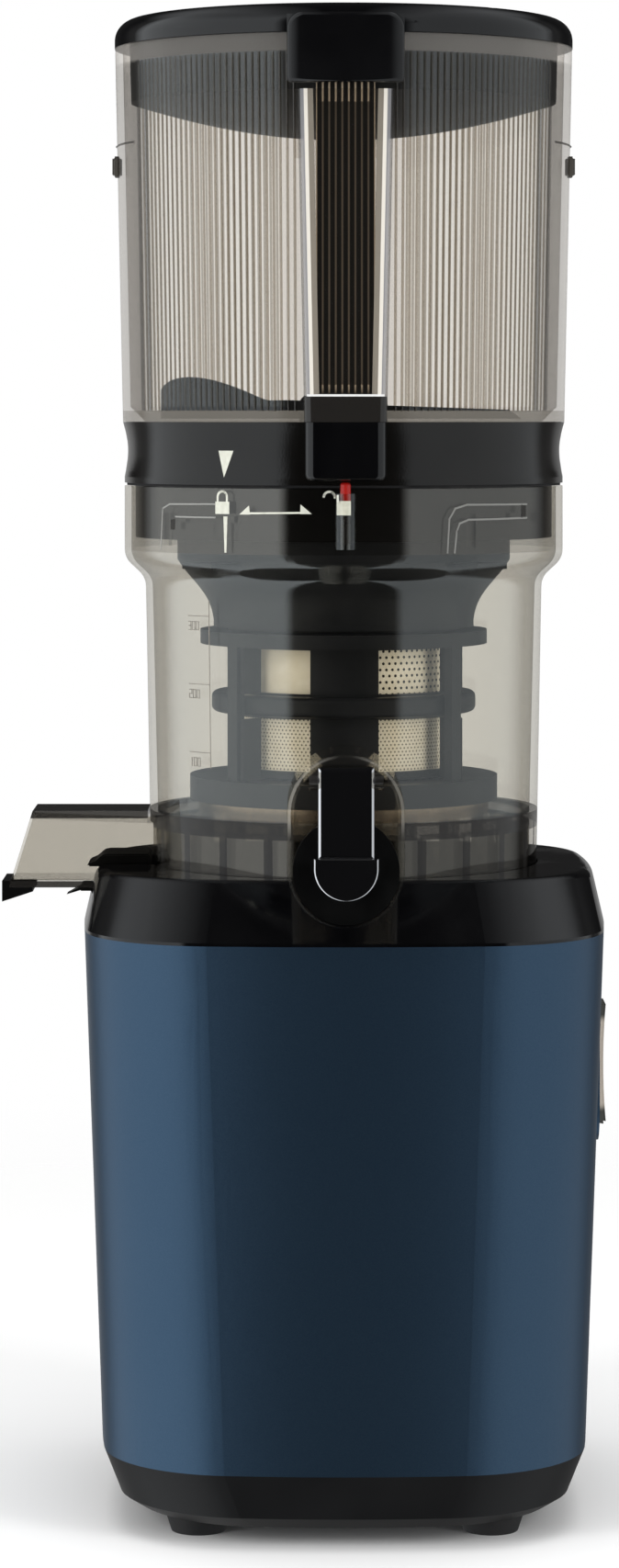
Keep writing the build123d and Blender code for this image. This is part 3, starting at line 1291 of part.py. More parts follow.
pieces = {
    "rubber_feet": rubber_feet,
    "bottom_tray": bottom_tray,
    "base_screws": base_screws,
    "motor_housing": motor_housing,
    "top_cover": top_cover,
    "gearbox_case": gearbox_case,
    "mount_bushes": mount_bushes,
    "motor_can": motor_can,
    "control_board": control_board,
    "interlock_switch": interlock_switch,
    "cord_gland": cord_gland,
    "switch_bezel": switch_bezel,
    "switch_module": switch_module,
    "rocker_pin": rocker_pin,
    "rocker_button": rocker_button,
    "juicing_bowl": juicing_bowl,
    "wiper_ledge": wiper_ledge,
    "juice_spout": juice_spout,
    "pulp_chute": pulp_chute,
    "chute_lip": chute_lip,
    "pulp_plug": pulp_plug,
    "pin_guide": pin_guide,
    "strainer_frame": strainer_frame,
    "strainer_mesh": strainer_mesh,
    "funnel": funnel,
    "idler_pin": idler_pin,
    "idler_gear": idler_gear,
    "wiper_frame": wiper_frame,
    "wiper_blades": wiper_blades,
    "drive_shaft": drive_shaft,
    "shaft_seal": shaft_seal,
    "juicing_screw": juicing_screw,
    "feed_wing": feed_wing,
    "hopper": hopper,
    "hopper_ring": hopper_ring,
    "hopper_gasket": hopper_gasket,
    "channel_housing": channel_housing,
    "hinge_pin": hinge_pin,
    "lock_pin": lock_pin,
    "safety_rod": safety_rod,
    "rod_spring": rod_spring,
    "lid_shell": lid_shell,
    "lid_dish": lid_dish,
    "lid_latch": lid_latch,
    "latch_pin": latch_pin,
    "cap_lever": cap_lever,
    "cap_plug": cap_plug,
    "cap_pin": cap_pin,
}

# The origin goes under the middle of the whole juicer's bounding box.
boxes = [piece.part.bounding_box() for piece in pieces.values()]
middle_x = (min(box.min.X for box in boxes) + max(box.max.X for box in boxes)) / 2
middle_y = (min(box.min.Y for box in boxes) + max(box.max.Y for box in boxes)) / 2
to_origin = Vector(-middle_x, -middle_y, -min(box.min.Z for box in boxes))
os.makedirs("parts", exist_ok=True)
for label, piece in pieces.items():
    placed = piece.part.moved(Location(to_origin))
    placed.label = label
    export_step(placed, f"parts/{label}.step")
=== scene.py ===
import math

import bmesh
import bpy
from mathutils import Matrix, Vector
from mathutils.bvhtree import BVHTree


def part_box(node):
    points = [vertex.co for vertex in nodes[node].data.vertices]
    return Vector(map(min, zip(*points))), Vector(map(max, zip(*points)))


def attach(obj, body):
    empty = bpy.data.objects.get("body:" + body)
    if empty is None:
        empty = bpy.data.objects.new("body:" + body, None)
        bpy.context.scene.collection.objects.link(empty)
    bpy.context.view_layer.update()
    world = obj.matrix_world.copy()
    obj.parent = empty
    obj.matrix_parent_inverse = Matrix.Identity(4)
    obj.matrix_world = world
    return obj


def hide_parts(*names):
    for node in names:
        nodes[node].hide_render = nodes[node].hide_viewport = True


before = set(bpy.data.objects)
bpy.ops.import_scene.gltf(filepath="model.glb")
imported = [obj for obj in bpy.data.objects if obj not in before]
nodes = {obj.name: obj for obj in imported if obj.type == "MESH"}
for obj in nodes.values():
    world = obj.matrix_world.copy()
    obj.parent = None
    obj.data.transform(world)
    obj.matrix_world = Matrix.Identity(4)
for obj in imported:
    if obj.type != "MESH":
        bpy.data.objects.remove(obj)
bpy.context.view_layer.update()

# ---------------------------------------------------------------- the room
# A white room with a pale floor. Two tall soft lamps stand left and right of the juicer and a
# wide one hangs over it. Polished pieces mirror bright side walls and a dark front of the room.
shaft_low, shaft_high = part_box("drive_shaft")
axis_x = (shaft_low.x + shaft_high.x) / 2
axis_y = (shaft_low.y + shaft_high.y) / 2


class Signal:
    """A socket that sends out a number, colour or vector, and takes part in plain sums."""

    def __init__(self, recipe, socket):
        self.recipe = recipe
        self.socket = socket

    def maths(self, operation, *others):
        return self.recipe.add("ShaderNodeMath", {"operation": operation}, [self, *others])

    def __add__(self, other):
        return self.maths("ADD", other)

    def __mul__(self, other):
        return self.maths("MULTIPLY", other)

    def __sub__(self, other):
        return self.maths("SUBTRACT", other)

    def __rsub__(self, other):
        return self.recipe.add("ShaderNodeMath", {"operation": "SUBTRACT"}, [other, self])

    def __truediv__(self, other):
        return self.maths("DIVIDE", other)

    def __pow__(self, other):
        return self.maths("POWER", other)

    def __mod__(self, other):
        return self.maths("FLOORED_MODULO", other)

    def __gt__(self, other):
        return self.maths("GREATER_THAN", other)

    def __lt__(self, other):
        return self.maths("LESS_THAN", other)

    def __or__(self, other):
        return self.maths("MAXIMUM", other)

    def __abs__(self):
        return self.maths("ABSOLUTE")

    __radd__ = __add__

    def ramp(self, *stops):
        return self.recipe.add("ShaderNodeValToRGB", {"stops": stops}, [self])

    def rise(self, start, end):
        settings = {"interpolation_type": "SMOOTHSTEP"}
        return self.recipe.add("ShaderNodeMapRange", settings, [self, start, end, 0.0, 1.0])


class Recipe:
    """The nodes of one material, or of the room's light."""

    def __init__(self, owner):
        owner.use_nodes = True
        self.owner = owner
        self.tree = owner.node_tree
        self.tree.nodes.clear()

    def add(self, kind, settings=None, inputs=None, output=0):
        node = self.tree.nodes.new(kind)
        for name, value in (settings or {}).items():
            if name == "stops":
                self.set_stops(node.color_ramp, value)
            else:
                setattr(node, name, value)
        shown = [socket for socket in node.inputs if socket.enabled]
        given = inputs or []
        pairs = given.items() if isinstance(given, dict) else enumerate(given)
        for key, value in pairs:
            socket = node.inputs[key] if isinstance(key, str) else shown[key]
            if isinstance(value, Signal):
                self.tree.links.new(value.socket, socket)
            elif socket.type == "RGBA" and len(value) == 3:
                socket.default_value = (*value, 1)
            else:
                socket.default_value = value
        if isinstance(output, str):
            return Signal(self, node.outputs[output])
        sent = [socket for socket in node.outputs if socket.enabled]
        return Signal(self, sent[output]) if sent else None

    def set_stops(self, band, stops):
        while len(band.elements) < len(stops):
            band.elements.new(1)
        for element, (place, colour) in zip(band.elements, stops):
            element.position = place
            element.color = (*colour, 1)

    def place(self, axis=None):
        spot = self.add("ShaderNodeTexCoord", output="Object")
        if axis is None:
            return spot
        return self.add("ShaderNodeSeparateXYZ", inputs=[spot], output=axis)

    def noise(self, scale, detail=2.0):
        inputs = {"Vector": self.place(), "Scale": scale, "Detail": detail}
        return self.add("ShaderNodeTexNoise", inputs=inputs)

    def blend(self, share, first, second):
        return self.add("ShaderNodeMix", {"data_type": "RGBA"}, [share, first, second])

    def bump(self, height, depth):
        inputs = {"Strength": 1.0, "Distance": depth, "Height": height}
        return self.add("ShaderNodeBump", inputs=inputs)

    def coat(self, **values):
        inputs = {name.replace("_", " "): value for name, value in values.items()}
        return self.add("ShaderNodeBsdfPrincipled", inputs=inputs)

    def show(self, surface):
        kind = "World" if isinstance(self.owner, bpy.types.World) else "Material"
        self.add("ShaderNodeOutput" + kind, inputs={"Surface": surface})
        return self.owner


def new_finish(name):
    return Recipe(bpy.data.materials.new(name))


room = Recipe(bpy.data.worlds.new("white_room"))
bpy.context.scene.world = room.owner
seen = room.add("ShaderNodeLightPath", output="Is Camera Ray")
through = room.add("ShaderNodeLightPath", output="Is Transmission Ray")
mirrored = room.add("ShaderNodeLightPath", output="Is Glossy Ray")
towards = room.add("ShaderNodeTexCoord", output="Generated")
depth = room.add("ShaderNodeSeparateXYZ", inputs=[towards], output="Y")
height = room.add("ShaderNodeSeparateXYZ", inputs=[towards], output="Z")
sideways = room.add("ShaderNodeSeparateXYZ", inputs=[towards], output="X")
round_about = depth / (depth * depth + sideways * sideways + 0.000001) ** 0.5
walls = (0.5 - round_about * 0.5).ramp(
    (0.0, (0.4, 0.4, 0.4)), (0.06, (0.4, 0.4, 0.4)), (0.10, (0.12, 0.12, 0.12)),
    (0.18, (0.12, 0.12, 0.12)), (0.25, (0.93, 0.97, 1.0)), (0.91, (0.93, 0.97, 1.0)),
    (0.935, (0.02, 0.02, 0.02)), (1.0, (0.01, 0.01, 0.01)))
low_back = height.rise(0.04, 0.08) * round_about.rise(0.6, 0.85)
on_right = sideways.rise(-0.05, 0.05) * 0.4
dim_walls = room.blend(low_back | on_right, walls, (0.02, 0.02, 0.02))
overhead = abs(sideways).ramp((0.12, (0.03, 0.03, 0.03)), (0.5, (0.6, 0.62, 0.64)))
mirror_light = room.blend(height.rise(0.45, 0.8), dim_walls, overhead)
fill_light = room.blend(mirrored, (0.62, 0.62, 0.62), mirror_light)
room.show(room.add("ShaderNodeBackground", inputs=[
    room.blend(seen | through, fill_light, (1, 1, 1)), 1.0]))


def add_lamp(name, place, aim, width, height, power):
    lamp = bpy.data.lights.new(name, "AREA")
    lamp.shape = "RECTANGLE"
    lamp.size = width
    lamp.size_y = height
    lamp.energy = power
    holder = bpy.data.objects.new(name, lamp)
    holder.location = place
    holder.rotation_euler = (Vector(aim) - Vector(place)).to_track_quat("-Z", "Y").to_euler()
    holder.visible_camera = False
    holder.visible_glossy = False
    bpy.context.scene.collection.objects.link(holder)


middle = (axis_x, axis_y, 0.25)
add_lamp("left_lamp", (axis_x - 0.95, axis_y - 0.75, 0.42), middle, 0.34, 1.1, 9)
add_lamp("right_lamp", (axis_x + 0.95, axis_y - 0.75, 0.42), middle, 0.34, 1.1, 9)
add_lamp("top_lamp", (axis_x, axis_y - 0.15, 1.5), middle, 1.1, 0.9, 12)

bpy.ops.mesh.primitive_grid_add(x_subdivisions=8, y_subdivisions=8, size=3)
floor = bpy.context.object
floor.name = "floor"
floor.visible_glossy = False
floor.location = (axis_x, axis_y, 0)
floor_paint = new_finish("floor_paint")
from_centre = floor_paint.add("ShaderNodeVectorMath", {"operation": "LENGTH"},
                              [floor_paint.place()], output="Value")
floor_paint.show(floor_paint.add("ShaderNodeMixShader", inputs=[
    from_centre.rise(0.2, 0.9),
    floor_paint.add("ShaderNodeBsdfDiffuse", inputs=[(0.9, 0.9, 0.9)]),
    floor_paint.add("ShaderNodeBsdfTransparent")]))
floor.data.materials.append(floor_paint.owner)

camera = bpy.data.objects.new("camera", bpy.data.cameras.new("camera"))
bpy.context.scene.collection.objects.link(camera)
camera_left, camera_back, camera_height = 0.0116, 1.5, 0.3668
camera.location = (axis_x - camera_left, axis_y - camera_back, camera_height)
camera.rotation_euler = (math.radians(90), 0, 0)
camera.data.lens = 101.23
camera.data.shift_y = -0.2364
bpy.context.scene.camera = camera
bpy.context.scene.view_settings.view_transform = "Standard"

# ---------------------------------------------------------------- feet, tray and its screws
# Four rubber feet stand under a black polypropylene tray, and the four screws that hold it up
# against the housing go up through them. The tray has the fine spark texture of its mould.


def shade(red, green, blue):
    """A colour as the eye reads it, 0 to 255, as the light that it sends back."""
    parts = [value / 255 for value in (red, green, blue)]
    return tuple(v / 12.92 if v <= 0.04045 else ((v + 0.055) / 1.055) ** 2.4 for v in parts)


def dress(finish, *names):
    for name in names:
        nodes[name].data.materials.clear()
        nodes[name].data.materials.append(finish)
        for face in nodes[name].data.polygons:
            face.use_smooth = True


rubber = new_finish("moulded_rubber")
dust = rubber.noise(90, 4)
rubber_black = rubber.show(rubber.coat(
    Base_Color=dust.ramp((0.35, shade(20, 20, 21)), (0.75, shade(38, 37, 37))),
    Roughness=0.62 + dust * 0.3,
    Normal=rubber.bump(rubber.noise(1400, 3), 0.00006)))
dress(rubber_black, "rubber_feet", "mount_bushes", "shaft_seal", "hopper_gasket", "wiper_blades")

spark = new_finish("spark_textured_black")
grain = spark.noise(2600, 2)
wear = spark.noise(28, 3)
textured_black = spark.show(spark.coat(
    Base_Color=wear.ramp((0.3, shade(7, 7, 8)), (0.8, shade(15, 15, 16))),
    Roughness=0.34 + wear * 0.22, IOR=1.36,
    Normal=spark.bump(grain, 0.00002)))
dress(textured_black, "bottom_tray", "cord_gland")

zinc = new_finish("zinc_plate")
zinc_tone = zinc.noise(350, 4)
zinc_plated = zinc.show(zinc.coat(
    Base_Color=zinc_tone.ramp((0.3, shade(150, 150, 156)), (0.7, shade(196, 196, 200))),
    Metallic=1.0, Roughness=0.24 + zinc_tone * 0.2))
dress(zinc_plated, "base_screws", "rocker_pin", "latch_pin", "idler_pin", "cap_pin", "hinge_pin")

# ---------------------------------------------------------------- motor housing
# A bowed square shell, moulded and sprayed in satin navy with fine metal flake under a soft
# clear coat, which pools in the middle of each face. It is bare at the front.
navy = new_finish("navy_spray")
orange_peel = navy.noise(420, 2)
flake = navy.add("ShaderNodeTexVoronoi", inputs={"Vector": navy.place(), "Scale": 3600.0},
                 output="Color")
flake_tone = navy.add("ShaderNodeSeparateColor", inputs=[flake], output="Red")
drift = navy.noise(9, 2)
face_crown = 1.5
off_centre = ((navy.place("X") - axis_x) ** 2 + (navy.place("Y") - axis_y) ** 2) * face_crown
navy_shades = (shade(58, 82, 106), shade(82, 106, 128))
navy_sprayed = navy.show(navy.coat(
    Base_Color=navy.blend(flake_tone * 0.22 + drift * 0.25, *navy_shades),
    Metallic=0.9, Roughness=0.34 + flake_tone * 0.06,
    Normal=navy.bump(orange_peel * 0.00002 - off_centre, 1.0),
    Coat_Weight=0.1, Coat_Roughness=0.25))
dress(navy_sprayed, "motor_housing")

# ---------------------------------------------------------------- cover of the base
# A glossy black moulding closes the housing and forms the well for the bowl. Handling leaves
# faint streaks in its polish.
gloss = new_finish("polished_black")
streaks = gloss.add("ShaderNodeTexNoise", inputs={
    "Vector": gloss.add("ShaderNodeMapping", inputs={"Vector": gloss.place(),
                                                     "Scale": (1, 1, 0.2)}),
    "Scale": 60.0, "Detail": 4.0})
gloss_black = gloss.show(gloss.coat(
    Base_Color=streaks.ramp((0.3, shade(3, 3, 4)), (0.8, shade(7, 7, 8))),
    Roughness=0.06 + streaks.rise(0.45, 0.8) * 0.1,
    Normal=gloss.bump(gloss.noise(70, 2), 0.00002),
    Coat_Weight=0.15, Coat_Roughness=0.04))
dress(gloss_black, "top_cover", "channel_housing", "lid_shell")

# ---------------------------------------------------------------- inside the base
# The die-cast gearbox and the motor can hang on rubber bushes, and a green board stands on edge
# behind them. The two switches are moulded in heat-proof green plastic.
cast = new_finish("die_cast_grey")
pits = cast.noise(600, 5)
die_cast = cast.show(cast.coat(
    Base_Color=pits.ramp((0.3, shade(120, 121, 124)), (0.7, shade(160, 161, 164))),
    Metallic=0.9, Roughness=0.42 + pits * 0.2,
    Normal=cast.bump(pits, 0.0001)))
dress(die_cast, "gearbox_case", "motor_can")

board = new_finish("board_laminate")
weave = board.add("ShaderNodeTexBrick", inputs={
    "Vector": board.place(), "Scale": 300.0, "Color1": shade(16, 78, 42),
    "Color2": shade(22, 92, 50), "Mortar": shade(40, 110, 66)})
board_green = board.show(board.coat(Base_Color=weave, Roughness=0.3 + board.noise(200) * 0.2,
                                    Coat_Weight=0.3))
dress(board_green, "control_board")

moulding = new_finish("heat_proof_moulding")
moulded_tone = moulding.noise(160, 3)
switch_moulding = moulding.show(moulding.coat(
    Base_Color=moulded_tone.ramp((0.3, shade(28, 60, 48)), (0.8, shade(44, 84, 68))),
    Roughness=0.5 + moulded_tone * 0.15))
dress(switch_moulding, "interlock_switch", "switch_module")

# ---------------------------------------------------------------- rocker switch
# A grey thermoplastic rocker between dark ends, on its pin in an oval seat of the housing's
# own navy.
rocker_low, rocker_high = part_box("rocker_button")
rocker = new_finish("rocker_plastic")
rocker_middle = (rocker_low.z + rocker_high.z) / 2
from_middle = abs(rocker.place("Z") - rocker_middle)
dark_from, dark_to = 0.0135, 0.0165
rocker_ends = from_middle.rise(dark_from, dark_to)
rocker_grey = rocker.show(rocker.coat(
    Base_Color=rocker.blend(rocker_ends, shade(158, 150, 140), shade(52, 53, 50)),
    Roughness=0.3 + rocker.noise(900) * 0.15,
    Normal=rocker.bump(rocker.noise(2200, 2), 0.00002)))
dress(rocker_grey, "rocker_button")
dress(navy_sprayed, "switch_bezel")


def finish_piece(name, form, finish, body):
    """Turn a drawn form into a piece that rides on a body."""
    mesh = bpy.data.meshes.new(name)
    form.to_mesh(mesh)
    form.free()
    mesh.materials.append(finish)
    piece = bpy.data.objects.new(name, mesh)
    bpy.context.scene.collection.objects.link(piece)
    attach(piece, body)
    return piece


longest_patch = 3


def stroke(width, *points):
    """Four-cornered patches along a line, in mm, short enough to follow a round wall."""
    patches = []
    for start, end in zip(points, points[1:]):
        run = Vector(end) - Vector(start)
        tip = run.normalized() * width / 2
        side = Vector((-tip.y, tip.x))
        count = math.ceil(run.length / longest_patch)
        stops = [Vector(start) - tip + (run + 2 * tip) * step / count for step in range(count + 1)]
        for near, far in zip(stops, stops[1:]):
            patches.append([near + side, near - side, far - side, far + side])
    return patches


def bow(centre, radius, start, end, steps=10):
    """Points along an arc, its angles in degrees."""
    angles = [math.radians(start + (end - start) * step / steps) for step in range(steps + 1)]
    return [(centre[0] + radius * math.cos(a), centre[1] + radius * math.sin(a)) for a in angles]


print_rise, print_root = 0.06, 0.1


def print_mark(name, patches, skin, finish, body):
    """Lay flat patches on a skin, a rule from (across, up, proud) to a place, all in mm."""
    form = bmesh.new()
    for patch in patches:
        top = [form.verts.new(skin(u, v, print_rise)) for u, v in patch]
        foot = [form.verts.new(skin(u, v, -print_root)) for u, v in patch]
        form.faces.new(top)
        for turn in range(len(patch)):
            after = (turn + 1) % len(patch)
            form.faces.new((top[turn], foot[turn], foot[after], top[after]))
    bmesh.ops.recalc_face_normals(form, faces=form.faces)
    return finish_piece(name, form, finish, body)


ink = new_finish("white_pad_print")
ink_tone = ink.noise(500, 3)
white_ink = ink.show(ink.coat(
    Base_Color=ink_tone.ramp((0.3, shade(196, 197, 184)), (0.7, shade(214, 215, 203))),
    Roughness=0.45 + ink_tone * 0.2))
rocker_bow_radius = 0.229
rocker_half = (rocker_high.z - rocker_low.z) / 2


def rocker_skin(across, up, proud):
    """The rocker's hollow face, which falls back a little towards its middle."""
    fall = math.sqrt(rocker_bow_radius ** 2 - (up / 1000) ** 2)
    fall -= math.sqrt(rocker_bow_radius ** 2 - rocker_half ** 2)
    return Vector((rocker_high.x - fall + proud / 1000, axis_y + across / 1000,
                   rocker_middle + up / 1000))


def close_slab(form, near, far):
    """Close a slab between two like outlines: both of its faces and the band between them."""
    form.faces.new(near)
    form.faces.new(list(reversed(far)))
    for turn in range(len(near)):
        after = (turn + 1) % len(near)
        form.faces.new((near[turn], near[after], far[after], far[turn]))
    bmesh.ops.recalc_face_normals(form, faces=form.faces)


paddle_form = bmesh.new()
paddle_half_width = (rocker_high.y - rocker_low.y) / 2 * 1000
paddle_reach = rocker_half * 1000 - 0.1
paddle_back, back_inset = rocker_low.x + 0.004, 1.5
half_the_steps = 12
paddle_sides = []
for across in (-paddle_half_width, paddle_half_width):
    outline = [rocker_skin(across, -paddle_reach + step * paddle_reach / half_the_steps, 0)
               for step in range(2 * half_the_steps + 1)]
    for up in (paddle_reach - back_inset, -paddle_reach + back_inset):
        outline.append(Vector((paddle_back, axis_y + across / 1000, rocker_middle + up / 1000)))
    paddle_sides.append([paddle_form.verts.new(corner) for corner in outline])
close_slab(paddle_form, *paddle_sides)
paddle_rims = [edge for edge in paddle_form.edges
               if edge.calc_face_angle(0) > 0.6 and edge.verts[0].co.x > rocker_high.x - 0.003]
bmesh.ops.bevel(paddle_form, geom=paddle_rims, offset=0.0009, segments=4, affect="EDGES")
for face in paddle_form.faces:
    face.smooth = True
rocker_paddle = finish_piece("rocker_paddle", paddle_form, rocker_grey, "rocker")
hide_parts("rocker_button")

rocker_signs = stroke(0.8, (0, 15.5), (0, 19)) + stroke(0.7, *bow((0, 0), 2.1, 0, 360, 24))
rocker_signs += stroke(0.7, *bow((0, -17), 1.9, -120, 150, 16))
rocker_signs += [[(-2.9, -16.9), (-0.7, -16.4), (-1.9, -14.4)]]
print_mark("rocker_signs", rocker_signs, rocker_skin, white_ink, "rocker")

# ---------------------------------------------------------------- juicing bowl
# Smoke-tinted copolyester, injection moulded and polished: it darkens where a wall is seen
# edge on. Spout, pulp chute and the lock pin's guide are of the same stuff.
bpy.context.scene.cycles.transparent_max_bounces = 40
edge_share = 0.42


def smoke_plastic(name, tint, haze, body, roughness=0.05, zones=None):
    """Clear tinted moulding. Where a zone lies, it is thick or gathers light: the zone gives the
    share of the plastic's own colour there, that colour, and how far it mirrors the room."""
    smoke = new_finish(name)
    edge_on = smoke.add("ShaderNodeLayerWeight", inputs=[0.3], output="Facing")
    share = haze + edge_on ** 2 * edge_share
    flow = smoke.noise(14, 2)
    colour = smoke.blend(flow, body, tuple(v * 0.9 for v in body))
    mirror = 1.0
    for where, zone_share, zone_colour, zone_mirror in zones(smoke) if zones else ():
        share = share | where * zone_share
        colour = smoke.blend(where, colour, zone_colour)
        mirror = where * (zone_mirror - mirror) + mirror
    skin = smoke.coat(Base_Color=colour, Roughness=roughness, Metallic=mirror, IOR=1.55,
                      Normal=smoke.bump(flow, 0.00003))
    pane = smoke.add("ShaderNodeBsdfTransparent", inputs=[tint])
    return smoke.show(smoke.add("ShaderNodeMixShader", inputs=[share, pane, skin]))


def dress_clear(finish, *names):
    """Clear plastic lets the light through, so it throws no shadow."""
    dress(finish, *names)
    for name in names:
        nodes[name].visible_shadow = False


bowl_low, bowl_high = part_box("juicing_bowl")
skirt_height, collar_height = 0.0258, 0.0215
bowl_floor = bowl_low.z + skirt_height
collar_foot = bowl_high.z - collar_height
skirt_ribs, rib_share = 24, 0.09
skirt_outside, web_outside, web_inside = 0.059, 0.0628, 0.05
floor_edge_radius, floor_edge_rise = 0.0605, 0.0012
hem_height = 0.0012
deep_smoke = (0.012, 0.011, 0.01)


def bowl_zones(smoke):
    """The rim's collar is dense, the floor's edge is thick, and ribs stand in the skirt."""
    up = smoke.place("Z")
    across = smoke.place("X") - axis_x
    deep = smoke.place("Y") - axis_y
    reach = (across * across + deep * deep) ** 0.5
    turns = smoke.add("ShaderNodeMath", {"operation": "ARCTAN2"}, [across, deep])
    in_pitch = (turns * (skirt_ribs / (2 * math.pi)) + skirt_ribs) % 1
    rib_front = (abs(in_pitch - 0.5) < rib_share) * (reach > skirt_outside)
    rib_web = (reach < web_outside) * (reach > web_inside)
    below = up < bowl_floor - 0.0042
    band = (up > bowl_floor - 0.0044) * (up < bowl_floor + floor_edge_rise)
    band = band * (reach > floor_edge_radius)
    hem = up < bowl_low.z + hem_height
    return ((up > collar_foot, 0.28, (0.34, 0.335, 0.32), 1.0),
            (below, 0.36, (0.24, 0.23, 0.21), 1.0),
            (band | below * (rib_front | rib_web) | hem, 0.8, deep_smoke, 0.0))


smoke_tint = (0.91, 0.895, 0.86)
smoke_body = (0.64, 0.68, 0.70)
smoke_clear = smoke_plastic("smoke_copolyester", smoke_tint, 0.10, smoke_body)
smoke_bowl = smoke_plastic("smoke_bowl", smoke_tint, 0.10, smoke_body, zones=bowl_zones)
warm_ledge = smoke_plastic("warm_ledge", (0.95, 0.87, 0.78), 0.5, (0.95, 0.80, 0.62), 0.25)
spout_low, spout_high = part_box("juice_spout")
spout_middle = (spout_low.z + spout_high.z) / 2


def spout_zones(smoke):
    """Light from the bowl gathers in the upper half of the tube, which the plug leaves free."""
    lit = smoke.place("Z").rise(spout_middle - 0.002, spout_middle + 0.006)
    return ((lit, 0.22, (0.86, 0.80, 0.70), 1.0),)


smoke_spout = smoke_plastic("smoke_spout", smoke_tint, 0.04, (0.26, 0.25, 0.23), zones=spout_zones)
dress_clear(smoke_clear, "pin_guide")
dress_clear(smoke_spout, "juice_spout")
dress_clear(smoke_bowl, "juicing_bowl")
dress_clear(warm_ledge, "wiper_ledge")

# ---------------------------------------------------------------- pulp chute
# A square channel of the same smoke-tinted stuff under the bowl's floor, with a slanted mouth. It
# is welded of two halves, and its upper and lower edges are thick.
chute_low, chute_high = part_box("pulp_chute")
front_wall, upper_edge, lower_edge = 0.0127, 0.0024, 0.0021


def chute_zones(smoke):
    """The upper edge is dense all round, the lower one along its front."""
    up = smoke.place("Z")
    in_front = smoke.place("Y") < axis_y - front_wall
    edges = (up > chute_high.z - upper_edge) | (up < chute_low.z + lower_edge) * in_front
    return ((edges, 0.93, deep_smoke, 0.0),)


smoke_chute = smoke_plastic("smoke_chute", smoke_tint, 0.12, (0.70, 0.68, 0.64), zones=chute_zones)
dress_clear(smoke_chute, "pulp_chute")

# ---------------------------------------------------------------- prints of the bowl
# White ink, pad printed on the rim and on the guide in front of it. It tells where the hopper
# locks, where it lifts off and which way it turns.
rim_radius = (bowl_high.x - bowl_low.x) / 2
ray_start = 0.12


def wrapped_on(node, girth_radius):
    """A skin for prints on a node: across runs along its girth from the front, in mm."""
    mesh = nodes[node].data
    surface = BVHTree.FromPolygons([corner.co for corner in mesh.vertices],
                                   [face.vertices for face in mesh.polygons])

    def skin(across, up, proud):
        turn = across / 1000 / girth_radius
        outwards = Vector((math.sin(turn), -math.cos(turn), 0))
        hit = surface.ray_cast(Vector((axis_x, axis_y, up / 1000)) + outwards * ray_start,
                               -outwards)[0]
        return hit + outwards * proud / 1000
    return skin


rim_skin = wrapped_on("juicing_bowl", rim_radius)
rim_foot = bowl_high.z * 1000 - 21.3
lock_across, lock_half = -42.3, 2.7
lock_foot, lock_top = rim_foot + 13, rim_foot + 17
shackle_middle, shackle_radius, shackle_width = rim_foot + 18.5, 1.8, 0.7
closed_lock = [[(lock_across - lock_half, lock_foot), (lock_across + lock_half, lock_foot),
                (lock_across + lock_half, lock_top), (lock_across - lock_half, lock_top)]]
closed_lock += stroke(shackle_width,
                      *bow((lock_across, shackle_middle), shackle_radius, 0, 180))
for leg in (lock_across - shackle_radius, lock_across + shackle_radius):
    closed_lock += stroke(shackle_width, (leg, lock_top), (leg, shackle_middle))
lock_line = [[(lock_across + 0.5, rim_foot + 12.2), (lock_across + 0.9, rim_foot + 0.4),
              (lock_across + 1.6, rim_foot + 0.4), (lock_across + 2.0, rim_foot + 12.2)]]
open_shackle = stroke(shackle_width, *bow((-5.2, rim_foot + 18.6), shackle_radius, 0, 170))
open_lock = [[(-2.9, lock_foot), (1.7, lock_foot), (1.7, rim_foot + 17.6),
              (-2.9, rim_foot + 17.6)]]
open_lock += stroke(shackle_width, (-2.55, rim_foot + 17.4), (-2.55, rim_foot + 19.2))
guide_reach = 0.084
turn_arrow = stroke(0.6, (-33.6, rim_foot + 13.3), (-12.6, rim_foot + 13.6))
turn_arrow += [[(-35.8, rim_foot + 12.9), (-31.9, rim_foot + 12.9), (-32.3, rim_foot + 15.8)],
               [(-10.9, rim_foot + 13.2), (-14.7, rim_foot + 13.2), (-14.6, rim_foot + 16.3)]]
print_mark("lock_marks", closed_lock + lock_line + open_shackle + turn_arrow, rim_skin, white_ink,
           "bowl")
print_mark("open_lock", open_lock, wrapped_on("pin_guide", guide_reach), white_ink, "bowl")

# ---------------------------------------------------------------- tracks in the collar
# Raised edges, moulded with the bowl, frame the two tracks in which the hopper's lugs turn. A dark
# stop ends each of them.
track_smoke = smoke_plastic("track_smoke", (0.85, 0.83, 0.79), 0.7, (0.62, 0.60, 0.56), 0.3)
track_edges = stroke(0.6, (70, 336.8), (42, 337), (37.4, 335.8), (35.2, 332.4), (34.5, 321.5))
track_edges += stroke(0.6, (70, 332.3), (42.6, 332.1), (39.1, 330.9), (38, 328.5), (37.2, 321.5))
track_edges += stroke(0.5, (-45.2, 337.2), (-66, 336.9), (-69.9, 335.4), (-71, 322))
track_edges += stroke(0.5, (-45.2, 332.8), (-62.8, 332.8))
print_mark("track_edges", track_edges, rim_skin, track_smoke, "bowl")
track_ends = stroke(2.6, (68.2, 335.6), (68.2, 333.6)) + stroke(2.2, (-64.4, 330.8), (-64.4, 329.6))
dark_smoke = smoke_plastic("dark_smoke", (0.5, 0.48, 0.45), 0.5, (0.10, 0.095, 0.09), 0.2)
print_mark("track_ends", track_ends, rim_skin, dark_smoke, "bowl")

